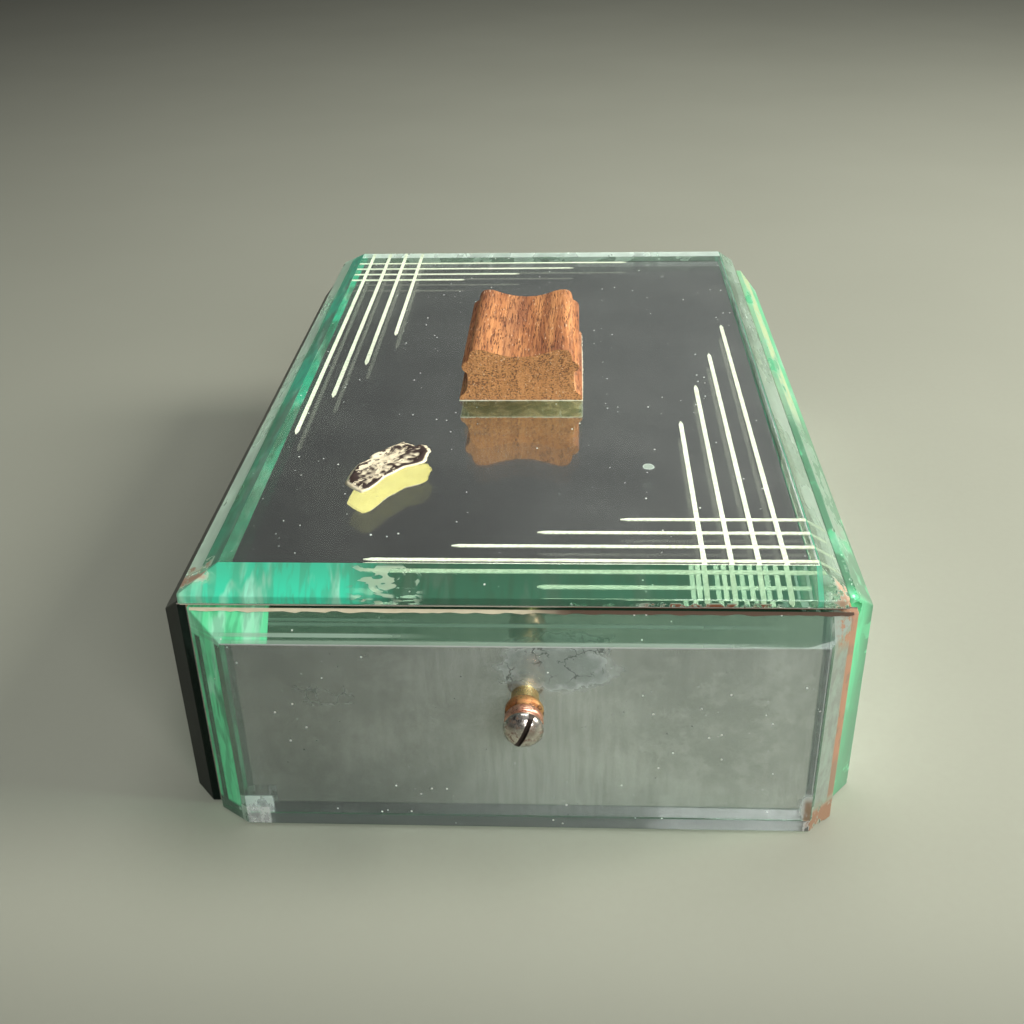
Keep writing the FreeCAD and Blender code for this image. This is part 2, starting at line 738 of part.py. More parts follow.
def make_winder():
    long_bush = f"({SKIN} + wall_thick + 0.6)"
    keep(
        cut(
            "arbor_bush",
            rod("bush_outside", "bush_radius", long_bush, on_arbor("-case_deep / 2"), ALONG_Y),
            rod(
                "bush_bore",
                "arbor_radius + arbor_play",
                f"{long_bush} * 3",
                on_arbor("-case_deep / 2 - 5"),
                ALONG_Y,
            ),
        ),
        "arbor_bush",
    )

    shank = rod(
        "screw_shank_bore", "screw_shank_radius", "screw_shank_long",
        on_arbor(f"{KNOB_BACK} - 2 * collar_long"), ALONG_Y,
    )
    arbor_front = f"({KNOB_BACK} - 2 * collar_long + neck_long)"
    arbor_back = "(barrel_front + barrel_long - 1.5)"
    arbor = rod(
        "arbor_rod", "arbor_radius", f"{arbor_back} - {arbor_front}", on_arbor(arbor_front), ALONG_Y,
    )
    keep(cut("winding_arbor", arbor, shank), "winding_arbor")

    for label, number in (("rear_collar", 0), ("front_collar", 1)):
        ring_back = f"({KNOB_BACK} - {number} * collar_long)"
        ring_front = f"({ring_back} - collar_long)"
        wide = rod(
            f"{label}_ring",
            "collar_radius",
            "collar_long - neck_long",
            on_arbor(f"{ring_front} + neck_long"),
            ALONG_Y,
        )
        neck = rod(f"{label}_neck", "neck_radius", "neck_long", on_arbor(ring_front), ALONG_Y)
        bore = rod(f"{label}_bore", "arbor_radius", "collar_long", on_arbor(ring_front), ALONG_Y)
        if number:
            bore = fuse(
                f"{label}_stepped_bore",
                rod(
                    f"{label}_deep_bore",
                    "arbor_radius",
                    "collar_long - neck_long",
                    on_arbor(arbor_front),
                    ALONG_Y,
                ),
                rod(
                    f"{label}_screw_bore",
                    "screw_shank_radius",
                    "collar_long",
                    on_arbor(ring_front),
                    ALONG_Y,
                ),
            )
        keep(cut(label, fuse(f"{label}_solid", wide, neck), bore), label)

    head_back = f"({KNOB_BACK} - 2 * collar_long)"
    squares = "(screw_head_radius * screw_head_radius + screw_head_long * screw_head_long)"
    dome_radius = f"({squares} / (2 * screw_head_long))"
    dome = doc.addObject("Part::Sphere", "screw_dome")
    bind(dome, Radius=dome_radius)
    place(dome, on_arbor(f"{head_back} - screw_head_long + {dome_radius}"))
    limit = rod(
        "screw_head_limit",
        "screw_head_radius",
        "screw_head_long",
        on_arbor(f"{head_back} - screw_head_long"),
        ALONG_Y,
    )
    cap = doc.addObject("Part::Common", "screw_head")
    cap.Base = dome
    cap.Tool = limit
    slot = block(
        "screw_slot",
        (
            "arbor_across - screw_slot_wide / 2",
            f"{head_back} - screw_head_long",
            "arbor_high - screw_head_radius",
        ),
        ("screw_slot_wide", "screw_slot_deep", "2 * screw_head_radius"),
    )
    shank_solid = rod(
        "screw_shank", "screw_shank_radius", "screw_shank_long", on_arbor(head_back), ALONG_Y,
    )
    keep(fuse("knob_screw", cut("screw_head_slotted", cap, slot), shank_solid), "knob_screw")


# ---------------------------------------------------------------- toothed wheels


def toothed_wheel(name, radius, thick, teeth, tooth_high, root_wide, tip_wide, bore, lean=0.0):
    """A disc with a ring of equal teeth and a bore, flat on Z = 0, its first tooth along +Y."""
    body = doc.addObject("PartDesign::Body", name)
    disc = body.newObject("PartDesign::AdditiveCylinder", f"{name}_disc")
    bind(disc, Radius=radius, Height=thick)
    tooth = body.newObject("PartDesign::AdditiveWedge", f"{name}_tooth")
    sunk = 0.3
    bind(
        tooth,
        Xmin=f"-({root_wide}) / 2", Xmax=f"({root_wide}) / 2",
        X2min=f"-({tip_wide}) / 2 + {lean}", X2max=f"({tip_wide}) / 2 + {lean}",
        Ymin="0", Ymax=f"{tooth_high} + {sunk}", Zmin="0", Zmax=thick, Z2min="0", Z2max=thick,
    )
    place(tooth, (0, f"{radius} - {sunk}", 0))
    doc.recompute()
    ring = body.newObject("PartDesign::PolarPattern", f"{name}_ring")
    ring.Originals = [tooth]
    ring.Axis = (origin_feature(body, "Z_Axis"), [""])
    ring.Angle = TURN
    bind(ring, Occurrences=teeth)
    body.Tip = ring
    doc.recompute()
    hole = body.newObject("PartDesign::SubtractiveCylinder", f"{name}_hole")
    bind(hole, Radius=bore, Height=f"3 * {thick}")
    place(hole, (0, 0, f"-{thick}"))
    body.Tip = hole
    return body


def mesh_angle():
    """The direction from the great wheel to its pinion, in degrees from +X towards +Z."""
    return math.degrees(math.atan2(-size("pinion_drop"), size("pinion_across")))


def tooth_towards(angle):
    """Lays a wheel's axis along Y with its first tooth at an angle from +X towards +Z."""
    return FreeCAD.Rotation(Y_AXIS, -(angle + TURN / 4)) * ALONG_Y


# ---------------------------------------------------------------- movement frame


def bolt(name, spot, shank_long):
    """A cheese-headed screw pointing down, its head resting on spot."""
    head = rod(f"{name}_head", "bolt_head_radius", "bolt_head_high", spot)
    shank = rod(
        f"{name}_shank", "bolt_radius", shank_long, (spot[0], spot[1], f"{spot[2]} - ({shank_long})"),
    )
    slot = block(
        f"{name}_slot", (
            f"{spot[0]} - bolt_head_radius", f"{spot[1]} - 0.3", f"{spot[2]} + bolt_head_high - 0.6",
        ),
        ("2 * bolt_head_radius", "0.6", "0.6"),
    )
    return cut(name, fuse(f"{name}_solid", head, shank), slot)


def bolt_hole(name, spot, deep):
    return rod(name, "bolt_radius", deep, (spot[0], spot[1], f"{spot[2]} - ({deep})"))


BED_BOLTS = [
    (f"{side_x}", f"{side_y}", BED_TOP)
    for side_x in ("bed_left + 4", "bed_right - 4")
    for side_y in ("bed_front + 4", "bed_back - 4")
]
BRACKET_BOLTS = [
    (f"arbor_across {sign} 5", f"{at} + bracket_thick + 3", f"{BED_TOP} + 2")
    for at in ("front_bracket_at", "rear_bracket_at - bracket_thick - 6")
    for sign in ("-", "+")
]
COMB_LEFT = "(arbor_across - drum_radius - drum_pin_high - comb_clear - comb_tooth_long - comb_root_long)"
COMB_FRONT = "(drum_front + (drum_long - comb_teeth * comb_pitch) / 2)"
COMB_BOLTS = [
    (
        f"{COMB_LEFT} + comb_root_long / 2",
        f"{COMB_FRONT} + comb_pitch * comb_teeth * {share}",
        "arbor_high + comb_thick / 2",
    )
    for share in (0.15, 0.5, 0.85)
]


def make_bed():
    bed = block(
        "bed_blank",
        ("bed_left", "bed_front", FLOOR),
        ("bed_right - bed_left", "bed_back - bed_front", "bed_thick"),
    )
    holes = [bolt_hole(f"bed_hole_{number}", spot, "bed_thick") for number, spot in enumerate(BED_BOLTS)]
    foot_holes = [
        bolt_hole(f"bed_bracket_hole_{number}", (spot[0], spot[1], BED_TOP), "2")
        for number, spot in enumerate(BRACKET_BOLTS)
    ]
    keep(cut("bedplate", bed, *holes, *foot_holes), "bedplate")
    screws = [bolt(f"bed_screw_{number}", spot, "bed_thick") for number, spot in enumerate(BED_BOLTS)]
    keep(group("bedplate_screws", screws), "bedplate_screws")
    screws = [bolt(f"bracket_screw_{number}", spot, "4") for number, spot in enumerate(BRACKET_BOLTS)]
    keep(group("bracket_screws", screws), "bracket_screws")


def bearing_bracket(label, back_face, bore, foot_back, bolts, extra=()):
    """An upright cock with a round head about the arbor line and a screwed foot."""
    foot_low = f"({back_face})" if foot_back else f"({back_face} - 6)"
    post = block(
        f"{label}_post", ("arbor_across - bracket_wide / 2", back_face, BED_TOP),
        ("bracket_wide", "bracket_thick", f"arbor_high - {BED_TOP}"),
    )
    head = rod(f"{label}_head", "bracket_wide / 2", "bracket_thick", on_arbor(back_face), ALONG_Y)
    foot = block(
        f"{label}_foot", ("arbor_across - bracket_wide / 2", foot_low, BED_TOP),
        ("bracket_wide", "bracket_thick + 6", "2"),
    )
    hole = rod(f"{label}_bore", bore, "bracket_thick + 2", on_arbor(f"{back_face} - 1"), ALONG_Y)
    foot_holes = [bolt_hole(f"{label}_foot_hole_{number}", spot, "2") for number, spot in enumerate(bolts)]
    return cut(label, fuse(f"{label}_solid", post, head, foot, *extra), hole, *foot_holes)


def make_brackets():
    front = bearing_bracket(
        "front_bracket", "front_bracket_at", "arbor_radius + arbor_play", True, BRACKET_BOLTS[:2],
    )
    keep(front, "front_bracket")
    rear = bearing_bracket(
        "rear_bracket_plain",
        "rear_bracket_at",
        "drum_shaft_radius + arbor_play",
        False,
        BRACKET_BOLTS[2:],
    )
    ear = rod(
        "rear_bracket_ear", "3", "bracket_thick",
        ("arbor_across + pinion_across", "rear_bracket_at", "arbor_high - pinion_drop"), ALONG_Y,
    )
    arm = block(
        "rear_bracket_arm", ("arbor_across + 4", "rear_bracket_at", "arbor_high - pinion_drop - 3"),
        ("pinion_across - 4", "bracket_thick", "6"),
    )
    pivot = rod(
        "rear_bracket_pivot", "pinion_arbor_radius + arbor_play", "bracket_thick + 2",
        ("arbor_across + pinion_across", "rear_bracket_at - 1", "arbor_high - pinion_drop"), ALONG_Y,
    )
    shaft = rod(
        "rear_bracket_shaft_hole",
        "drum_shaft_radius + arbor_play",
        "bracket_thick + 2",
        on_arbor("rear_bracket_at - 1"),
        ALONG_Y,
    )
    keep(cut("rear_bracket", fuse("rear_bracket_solid", rear, ear, arm), pivot, shaft), "rear_bracket")


# ---------------------------------------------------------------- barrel and pinned cylinder


def make_ratchet():
    wheel = toothed_wheel(
        "ratchet_wheel", "ratchet_radius", "ratchet_thick", "ratchet_teeth", "ratchet_tooth",
        "1.5", "0.2", "arbor_radius", lean=0.6,
    )
    keep(place(wheel, on_arbor("front_bracket_at - ratchet_thick - 0.4"), ALONG_Y), "ratchet_wheel")

    tip = "(arbor_high + ratchet_radius + ratchet_tooth + running_gap)"
    pivot_x = "(arbor_across + 6)"
    pivot_z = "(arbor_high + click_rise)"
    front = "(front_bracket_at - ratchet_thick - 0.4)"
    boss = rod("click_boss", "1.3", "ratchet_thick", (pivot_x, front, pivot_z), ALONG_Y)
    nose = block("click_nose", ("arbor_across + 0.6", front, tip), ("6", "ratchet_thick", "0.9"))
    tail = block(
        "click_tail",
        ("arbor_across + 5.6", front, pivot_z),
        ("0.9", "ratchet_thick", f"{tip} + 0.9 - {pivot_z}"),
    )
    hole = rod(
        "click_hole",
        "0.6 + arbor_play",
        "ratchet_thick + 2",
        (pivot_x, f"{front} - 1", pivot_z),
        ALONG_Y,
    )
    keep(cut("click", fuse("click_solid", boss, nose, tail), hole), "click")
    keep(
        rod("click_stud", "0.6", "ratchet_thick + 0.4", (pivot_x, front, pivot_z), ALONG_Y),
        "click_stud",
    )


def make_drum():
    back = "(barrel_front + barrel_long)"
    shell = rod(
        "barrel_outside", "barrel_radius", "barrel_long - 1", on_arbor("barrel_front + 1"), ALONG_Y,
    )
    hollow = rod(
        "barrel_inside", "barrel_radius - barrel_wall", "barrel_long - 2",
        on_arbor("barrel_front + 1"), ALONG_Y,
    )
    bore = rod(
        "barrel_bore",
        "arbor_radius + arbor_play",
        "barrel_long",
        on_arbor("barrel_front + 2"),
        ALONG_Y,
    )
    keep(cut("spring_barrel", shell, hollow, bore), "spring_barrel")
    cap = rod("barrel_cap_disc", "barrel_radius", "0.95", on_arbor("barrel_front"), ALONG_Y)
    cap_bore = rod(
        "barrel_cap_bore", "arbor_radius + arbor_play", "3", on_arbor("barrel_front - 1"), ALONG_Y,
    )
    keep(cut("barrel_cap", cap, cap_bore), "barrel_cap")

    drum_back = "(drum_front + drum_long)"
    neck = rod("drum_neck", "4", f"drum_front - {back}", on_arbor(back), ALONG_Y)
    front_plug = rod("drum_front_plug", "drum_radius - drum_wall", "2", on_arbor("drum_front"), ALONG_Y)
    shaft = rod(
        "drum_shaft_rod",
        "drum_shaft_radius",
        "rear_bracket_at + bracket_thick - drum_front",
        on_arbor("drum_front"),
        ALONG_Y,
    )
    rear_plug = rod(
        "drum_rear_plug", "drum_radius - drum_wall", "2", on_arbor(f"{drum_back} - 2"), ALONG_Y,
    )
    keep(fuse("drum_shaft", neck, front_plug, shaft, rear_plug), "drum_shaft")

    wheel = toothed_wheel(
        "great_wheel", "great_wheel_radius", "wheel_thick", "great_wheel_teeth", "tooth_high",
        "0.6", "0.22", "1.2",
    )
    keep(place(wheel, on_arbor("great_wheel_at"), tooth_towards(mesh_angle())), "great_wheel")


def make_mainspring():
    """The coiled mainspring: a ribbon wound as a spiral between the arbor and the barrel wall."""
    inner = size("arbor_radius") + 0.5
    outer = size("barrel_radius") - size("barrel_wall") - 0.3
    turns = 6
    ribbon = 0.5
    steps_per_turn = 24
    steps = turns * steps_per_turn

    def spiral(offset):
        points = []
        for step in range(steps + 1):
            angle = 2 * math.pi * step / steps_per_turn
            radius = inner + (outer - ribbon - inner) * step / steps + offset
            points.append(FreeCAD.Vector(radius * math.cos(angle), 0, radius * math.sin(angle)))
        return points

    inside = Part.BSplineCurve()
    inside.interpolate(spiral(0))
    outside = Part.BSplineCurve()
    outside.interpolate(spiral(ribbon))
    inner_side = spiral(0)
    outer_side = spiral(ribbon)
    ends = [Part.LineSegment(inner_side[end], outer_side[end]).toShape() for end in (0, -1)]
    wire = Part.Wire(Part.__sortEdges__([inside.toShape(), ends[1], outside.toShape(), ends[0]]))
    coil = Part.Face(wire).extrude(FreeCAD.Vector(0, size("barrel_long") - 3.2, 0))
    feature = doc.addObject("Part::Feature", "mainspring")
    feature.Shape = coil
    place(feature, on_arbor("barrel_front + 1.4"))
    keep(feature, "mainspring")


def make_pinned_cylinder():
    """A thin tube with rows of tune pins, in line with the comb teeth, laid out by a fixed rule."""
    radius = size("drum_radius")
    tube = Part.makeCylinder(radius, size("drum_long"), FreeCAD.Vector(0, 0, 0), Y_AXIS)
    hollow = Part.makeCylinder(
        radius - size("drum_wall"), size("drum_long"), FreeCAD.Vector(0, 0, 0), Y_AXIS,
    )
    first = (size("drum_long") - size("comb_teeth") * size("comb_pitch")) / 2 + size("comb_pitch") / 2
    pins = []
    per_row = 5
    row_turn = 137.5
    sunk = 0.3
    for tooth in range(int(size("comb_teeth"))):
        for number in range(per_row):
            angle = math.radians(tooth * row_turn + number * TURN / per_row + 11 * (tooth * number % 5))
            outward = FreeCAD.Vector(math.cos(angle), 0, math.sin(angle))
            start = outward * (radius - sunk) + FreeCAD.Vector(0, first + tooth * size("comb_pitch"), 0)
            pins.append(
                Part.makeCylinder(
                    size("drum_pin_radius"), size("drum_pin_high") + sunk, start, outward,
                ),
            )
    feature = doc.addObject("Part::Feature", "pinned_cylinder")
    feature.Shape = tube.cut(hollow).fuse(pins)
    place(feature, on_arbor("drum_front"))
    keep(feature, "pinned_cylinder")


# ---------------------------------------------------------------- comb


def make_comb():
    """A steel plate cut into equal teeth that point at the cylinder's axis."""
    body = doc.addObject("PartDesign::Body", "comb")
    plate = body.newObject("PartDesign::AdditiveBox", "comb_plate")
    bind(
        plate,
        Length="comb_root_long + comb_tooth_long",
        Width="comb_teeth * comb_pitch",
        Height="comb_thick",
    )
    slot = body.newObject("PartDesign::SubtractiveBox", "comb_slot_cut")
    bind(slot, Length="comb_tooth_long + 1", Width="comb_slot", Height="3 * comb_thick")
    place(slot, ("comb_root_long", "comb_pitch - comb_slot / 2", "-comb_thick"))
    doc.recompute()
    row = body.newObject("PartDesign::LinearPattern", "comb_slots")
    row.Originals = [slot]
    row.Direction = (origin_feature(body, "Y_Axis"), [""])
    bind(row, Length="(comb_teeth - 2) * comb_pitch", Occurrences="comb_teeth - 1")
    body.Tip = row
    doc.recompute()
    for number, spot in enumerate(COMB_BOLTS):
        hole = body.newObject("PartDesign::SubtractiveCylinder", f"comb_hole_{number}")
        bind(hole, Radius="bolt_radius", Height="3 * comb_thick")
        place(hole, (f"{spot[0]} - {COMB_LEFT}", f"{spot[1]} - {COMB_FRONT}", "-comb_thick"))
        body.Tip = hole
    keep(place(body, (COMB_LEFT, COMB_FRONT, "arbor_high - comb_thick / 2")), "comb")

    base = block(
        "comb_base_blank", (COMB_LEFT, COMB_FRONT, BED_TOP),
        ("comb_root_long", "comb_teeth * comb_pitch", f"arbor_high - comb_thick / 2 - {BED_TOP}"),
    )
    holes = [
        bolt_hole(f"comb_base_hole_{number}", (spot[0], spot[1], "arbor_high - comb_thick / 2"), "5")
        for number, spot in enumerate(COMB_BOLTS)
    ]
    keep(cut("comb_base", base, *holes), "comb_base")
    screws = [
        bolt(f"comb_screw_{number}", spot, "comb_thick + 4") for number, spot in enumerate(COMB_BOLTS)
    ]
    keep(group("comb_screws", screws), "comb_screws")


# ---------------------------------------------------------------- governor

PINION_X = "(arbor_across + pinion_across)"
PINION_Z = "(arbor_high - pinion_drop)"
WORM_X = "(arbor_across + pinion_across + worm_across)"
FAN_TOP = "(fan_bottom + fan_wing_high)"


def make_second_arbor():
    front = "(worm_wheel_at - 4)"
    back = "(rear_bracket_at + bracket_thick)"
    keep(
        rod(
            "second_arbor",
            "pinion_arbor_radius",
            f"{back} - {front}",
            (PINION_X, front, PINION_Z),
            ALONG_Y,
        ),
        "second_arbor",
    )
    pinion = toothed_wheel(
        "pinion", "pinion_radius - 0.2", "wheel_thick + 0.8", "pinion_teeth", "tooth_high",
        "0.5", "0.2", "pinion_arbor_radius",
    )
    half_tooth = TURN / size("pinion_teeth") / 2
    facing = tooth_towards(mesh_angle() + TURN / 2 + half_tooth)
    keep(place(pinion, (PINION_X, "great_wheel_at - 0.4", PINION_Z), facing), "pinion")
    wheel = toothed_wheel(
        "worm_wheel", "worm_wheel_radius", "worm_wheel_thick", "worm_wheel_teeth", "worm_tooth_high",
        "0.7", "0.35", "pinion_arbor_radius",
    )
    keep(
        place(wheel, (PINION_X, "worm_wheel_at - worm_wheel_thick / 2", PINION_Z), ALONG_Y),
        "worm_wheel",
    )


def make_worm():
    """The endless screw: a slim core with a single thread, and the brake disc above its fan."""
    root = size("worm_root_radius")
    tip = size("worm_tip_radius")
    pitch = size("worm_pitch")
    turns = size("worm_turns")
    root_half, tip_half, sunk = 0.36, 0.17, 0.15
    helix = Part.makeHelix(pitch, pitch * turns, root)
    profile = Part.makePolygon(
        [
            FreeCAD.Vector(root - sunk, 0, -root_half),
            FreeCAD.Vector(tip, 0, -tip_half),
            FreeCAD.Vector(tip, 0, tip_half),
            FreeCAD.Vector(root - sunk, 0, root_half),
            FreeCAD.Vector(root - sunk, 0, -root_half),
        ]
    )
    thread = Part.Wire(helix).makePipeShell([profile], True, True)
    thread.translate(FreeCAD.Vector(0, 0, -pitch * turns / 2))
    core_half = pitch * turns / 2 + 0.8
    core = Part.makeCylinder(root, 2 * core_half, FreeCAD.Vector(0, 0, -core_half))
    feature = doc.addObject("Part::Feature", "worm")
    feature.Shape = core.fuse(thread)
    place(feature, (WORM_X, "worm_wheel_at", PINION_Z))
    keep(feature, "worm")

    shaft_low = f"({BED_TOP} + 4)"
    lower = rod(
        "worm_lower_shaft", "worm_arbor_radius", f"{PINION_Z} - {core_half} - {shaft_low}",
        (WORM_X, "worm_wheel_at", shaft_low),
    )
    upper = rod(
        "worm_upper_shaft", "worm_arbor_radius", f"brake_disc_high + 1 - {PINION_Z} - {core_half}",
        (WORM_X, "worm_wheel_at", f"{PINION_Z} + {core_half}"),
    )
    wing = block(
        "fan_wing", (f"{WORM_X} - fan_wing_wide", "worm_wheel_at - fan_wing_thick / 2", "fan_bottom"),
        ("2 * fan_wing_wide", "fan_wing_thick", "fan_wing_high"),
    )
    disc = rod("brake_disc", "brake_disc_radius", "0.5", (WORM_X, "worm_wheel_at", "brake_disc_high"))
    keep(group("worm_arbor_ends", [lower]), "worm_lower_arbor")
    keep(fuse("fan_solid", upper, wing, disc), "governor_fan")


def make_governor_frame():
    """A cock beside the worm, with an arm below it and one above its fan."""
    post_x = f"({WORM_X} + 5.2)"
    low_arm = f"({BED_TOP} + 3)"
    top_arm = "(fan_bottom - 3.2)"
    arm_back = "(worm_wheel_at - 2)"
    post = block("governor_post", (post_x, arm_back, BED_TOP), ("3", "4", f"{top_arm} + 2 - {BED_TOP}"))
    foot = block("governor_foot", (f"{WORM_X} - 2", arm_back, BED_TOP), ("10.2", "4", "2"))
    arms = []
    pivots = []
    for name, level in (("low", low_arm), ("top", top_arm)):
        arms.append(
            block(f"governor_{name}_arm", (f"{WORM_X} - 1.6", arm_back, level), ("8", "4", "2")),
        )
        pivots.append(
            rod(
                f"governor_{name}_pivot",
                "worm_arbor_radius + arbor_play",
                "4",
                (WORM_X, "worm_wheel_at", f"{level} - 1"),
            )
        )
    keep(cut("governor_frame", fuse("governor_solid", post, foot, *arms), *pivots), "governor_frame")


def make_front_pivot():
    """The small cock that carries the front end of the second arbor."""
    at = "(worm_wheel_at - 4)"
    post = block(
        "second_cock_post", (f"{PINION_X} - 2", at, BED_TOP), ("4", "2", f"{PINION_Z} + 2 - {BED_TOP}"),
    )
    hole = rod(
        "second_cock_hole",
        "pinion_arbor_radius + arbor_play",
        "4",
        (PINION_X, f"{at} - 1", PINION_Z),
        ALONG_Y,
    )
    keep(cut("second_cock", post, hole), "second_cock")


# ---------------------------------------------------------------- dust cover and stop


def make_cover():
    front = f"(-({INSIDE_DEEP}) / 2 + 0.3)"
    deep = f"(partition_back - partition_thick - 0.3 - {front})"
    wide = f"({INSIDE_WIDE} - 0.6)"
    pane = block("cover_pane", (f"-{wide} / 2", front, "cover_bottom"), (wide, deep, "cover_thick"))
    hole = rod(
        "cover_hole",
        "stop_pin_radius + stop_pin_play",
        "3 * cover_thick",
        ("stop_pin_across", "stop_pin_at", "cover_bottom - cover_thick"),
    )
    keep(cut("dust_cover", pane, hole), "dust_cover")
    rails = [
        block(
            f"cover_rail_{name}",
            (low_x, front, "cover_bottom - rail_high"),
            ("rail_wide", deep, "rail_high"),
        )
        for name, low_x in (
            ("left", f"-({INSIDE_WIDE}) / 2"), ("right", f"({INSIDE_WIDE}) / 2 - rail_wide"),
        )
    ]
    keep(group("cover_rails", rails), "cover_rails")


def make_stop():
    top = f"({BOARD_TOP} - board_thick - lid_felt_thick - 0.1)"
    pin = rod(
        "stop_rod",
        "stop_pin_radius",
        f"{top} - stop_pin_bottom",
        ("stop_pin_across", "stop_pin_at", "stop_pin_bottom"),
    )
    arm = block(
        "stop_arm", (f"{WORM_X} - 1.5", "stop_pin_at - 1", "brake_disc_high + 1.3"),
        (f"stop_pin_across - {WORM_X} + 1.5", "2", "1.2"),
    )
    keep(fuse("stop_pin", pin, arm), "stop_pin")
    foot = block(
        "stop_guide_foot", ("stop_pin_across - 4", "stop_pin_at - 4", FLOOR), ("8", "8", "6.6"),
    )
    tube = rod("stop_guide_tube", "2.4", "8", ("stop_pin_across", "stop_pin_at", f"{FLOOR} + 6.6"))
    bore = rod(
        "stop_guide_bore",
        "stop_pin_radius + arbor_play",
        "20",
        ("stop_pin_across", "stop_pin_at", f"{FLOOR} + 2"),
    )
    keep(cut("stop_guide", fuse("stop_guide_solid", foot, tube), bore), "stop_guide")


def build():
    fill_sheet()
    make_glass()
    make_silvering()
    make_case()
    make_tray_lining()
    make_lid_inside()
    make_handle_block()
    make_hinge()
    make_winder()
    make_bed()
    make_brackets()
    make_ratchet()
    make_drum()
    make_mainspring()
    make_pinned_cylinder()
    make_comb()
    make_second_arbor()
    make_worm()
    make_governor_frame()
    make_front_pivot()
    make_cover()
    make_stop()
    doc.recompute()


def check():
    for thing in doc.Objects:
        if "Invalid" in thing.State or "Error" in thing.State:
            raise RuntimeError(f"{thing.Label} did not recompute: {thing.State}")
    for part in parts:
        if part.Shape.isNull() or not part.Shape.isValid() or not part.Shape.Solids:
            raise RuntimeError(f"{part.Label} has no valid solid")


def export():
    os.makedirs("parts", exist_ok=True)
    for part in parts:
        part.Shape.exportStep(f"parts/{part.Label}.step")


build()
check()
export()
print(len(parts), "nodes written")
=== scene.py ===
"""The look of a wind-up music box: bevelled plates of old silvered glass round a wooden case, a hinged
glass lid with a carved wooden block, a winding knob at the front and a cylinder movement inside."""

import json
import math
import random

import bmesh
import bpy
from mathutils import Matrix, Vector, noise


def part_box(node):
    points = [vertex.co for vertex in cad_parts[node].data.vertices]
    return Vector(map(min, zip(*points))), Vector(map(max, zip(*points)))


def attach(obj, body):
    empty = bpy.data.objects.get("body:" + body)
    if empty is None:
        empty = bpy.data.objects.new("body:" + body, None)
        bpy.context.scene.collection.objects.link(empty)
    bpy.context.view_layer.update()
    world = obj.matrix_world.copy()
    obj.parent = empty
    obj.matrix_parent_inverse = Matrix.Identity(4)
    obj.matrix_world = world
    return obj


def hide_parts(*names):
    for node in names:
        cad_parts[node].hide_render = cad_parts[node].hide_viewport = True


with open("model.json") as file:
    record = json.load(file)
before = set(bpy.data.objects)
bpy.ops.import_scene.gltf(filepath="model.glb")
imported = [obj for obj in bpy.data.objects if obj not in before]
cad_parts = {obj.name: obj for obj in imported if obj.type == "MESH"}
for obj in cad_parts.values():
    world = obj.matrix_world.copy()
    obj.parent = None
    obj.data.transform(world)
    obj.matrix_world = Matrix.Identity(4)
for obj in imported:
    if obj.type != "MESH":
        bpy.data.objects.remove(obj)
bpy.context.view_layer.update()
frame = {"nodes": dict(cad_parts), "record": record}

MM = 0.001
NODES = frame["nodes"]
SLOTS = {entry["slot"]: entry for entry in frame["record"]["materials"]}

# plates of glass, in millimetres
BEVEL_WIDE = 5.4
BEVEL_DROP = 4.8
LID_LEFT_BEVEL = 8.0
FRONT_LEFT_BEVEL = 7.0
ARRIS = 0.22
ARRIS_ANGLE = math.radians(12)
UPRIGHT_SLACK = MM / 10
LID_CORNER = 1.0
ARBOR_X = 2.0
ARBOR_Z = 33.2

# engraved lines under the lid
LINE_COUNT = 4
LINE_PITCH = 5.5
LINE_MARGIN = 11.0
LINE_WIDE = 1.05
LINE_DEEP = 0.15
CROSSING_STEP = 0.03
LONG_LINE = 140.0
LONG_LINE_STEP = 21.5
SHORT_LINE = 97.0
SHORT_LINE_STEP = 17.7

# colours, as linear red, green and blue
# painted glow colours for the glass edges
MINT = (0.05, 0.62, 0.38)
LEAF_MINT = (0.13, 0.70, 0.33)
PALE_MINT = (0.50, 0.86, 0.66)
# dark edge colours of the glass, which on the left plate are painted shade
DEEP_GREEN = (0.030, 0.105, 0.058)
SHADE_BLACK_GREEN = (0.002, 0.004, 0.003)
DUST = (0.72, 0.72, 0.66)
RUST = (0.20, 0.070, 0.028)
MOSS_GREEN = (0.12, 0.30, 0.17)
BEVEL_TINT = (0.44, 0.67, 0.50)
BEVEL_GREEN = (0.095, 0.175, 0.10)
FOOT_GREY = (0.07, 0.073, 0.068)
PEACH = (0.44, 0.30, 0.20)


# how glass bends light, what it lets through and how fast it turns green
GLASS_BEND = 1.52
GLASS_CLEAR = (0.98, 1.0, 0.99)
GLASS_PASSING = (0.93, 0.98, 0.95)
GLASS_GREEN = (0.25, 0.93, 0.74)
GLASS_DENSITY = 5.5
GROUND_MOST = 0.92


# ---------------------------------------------------------------- node helpers

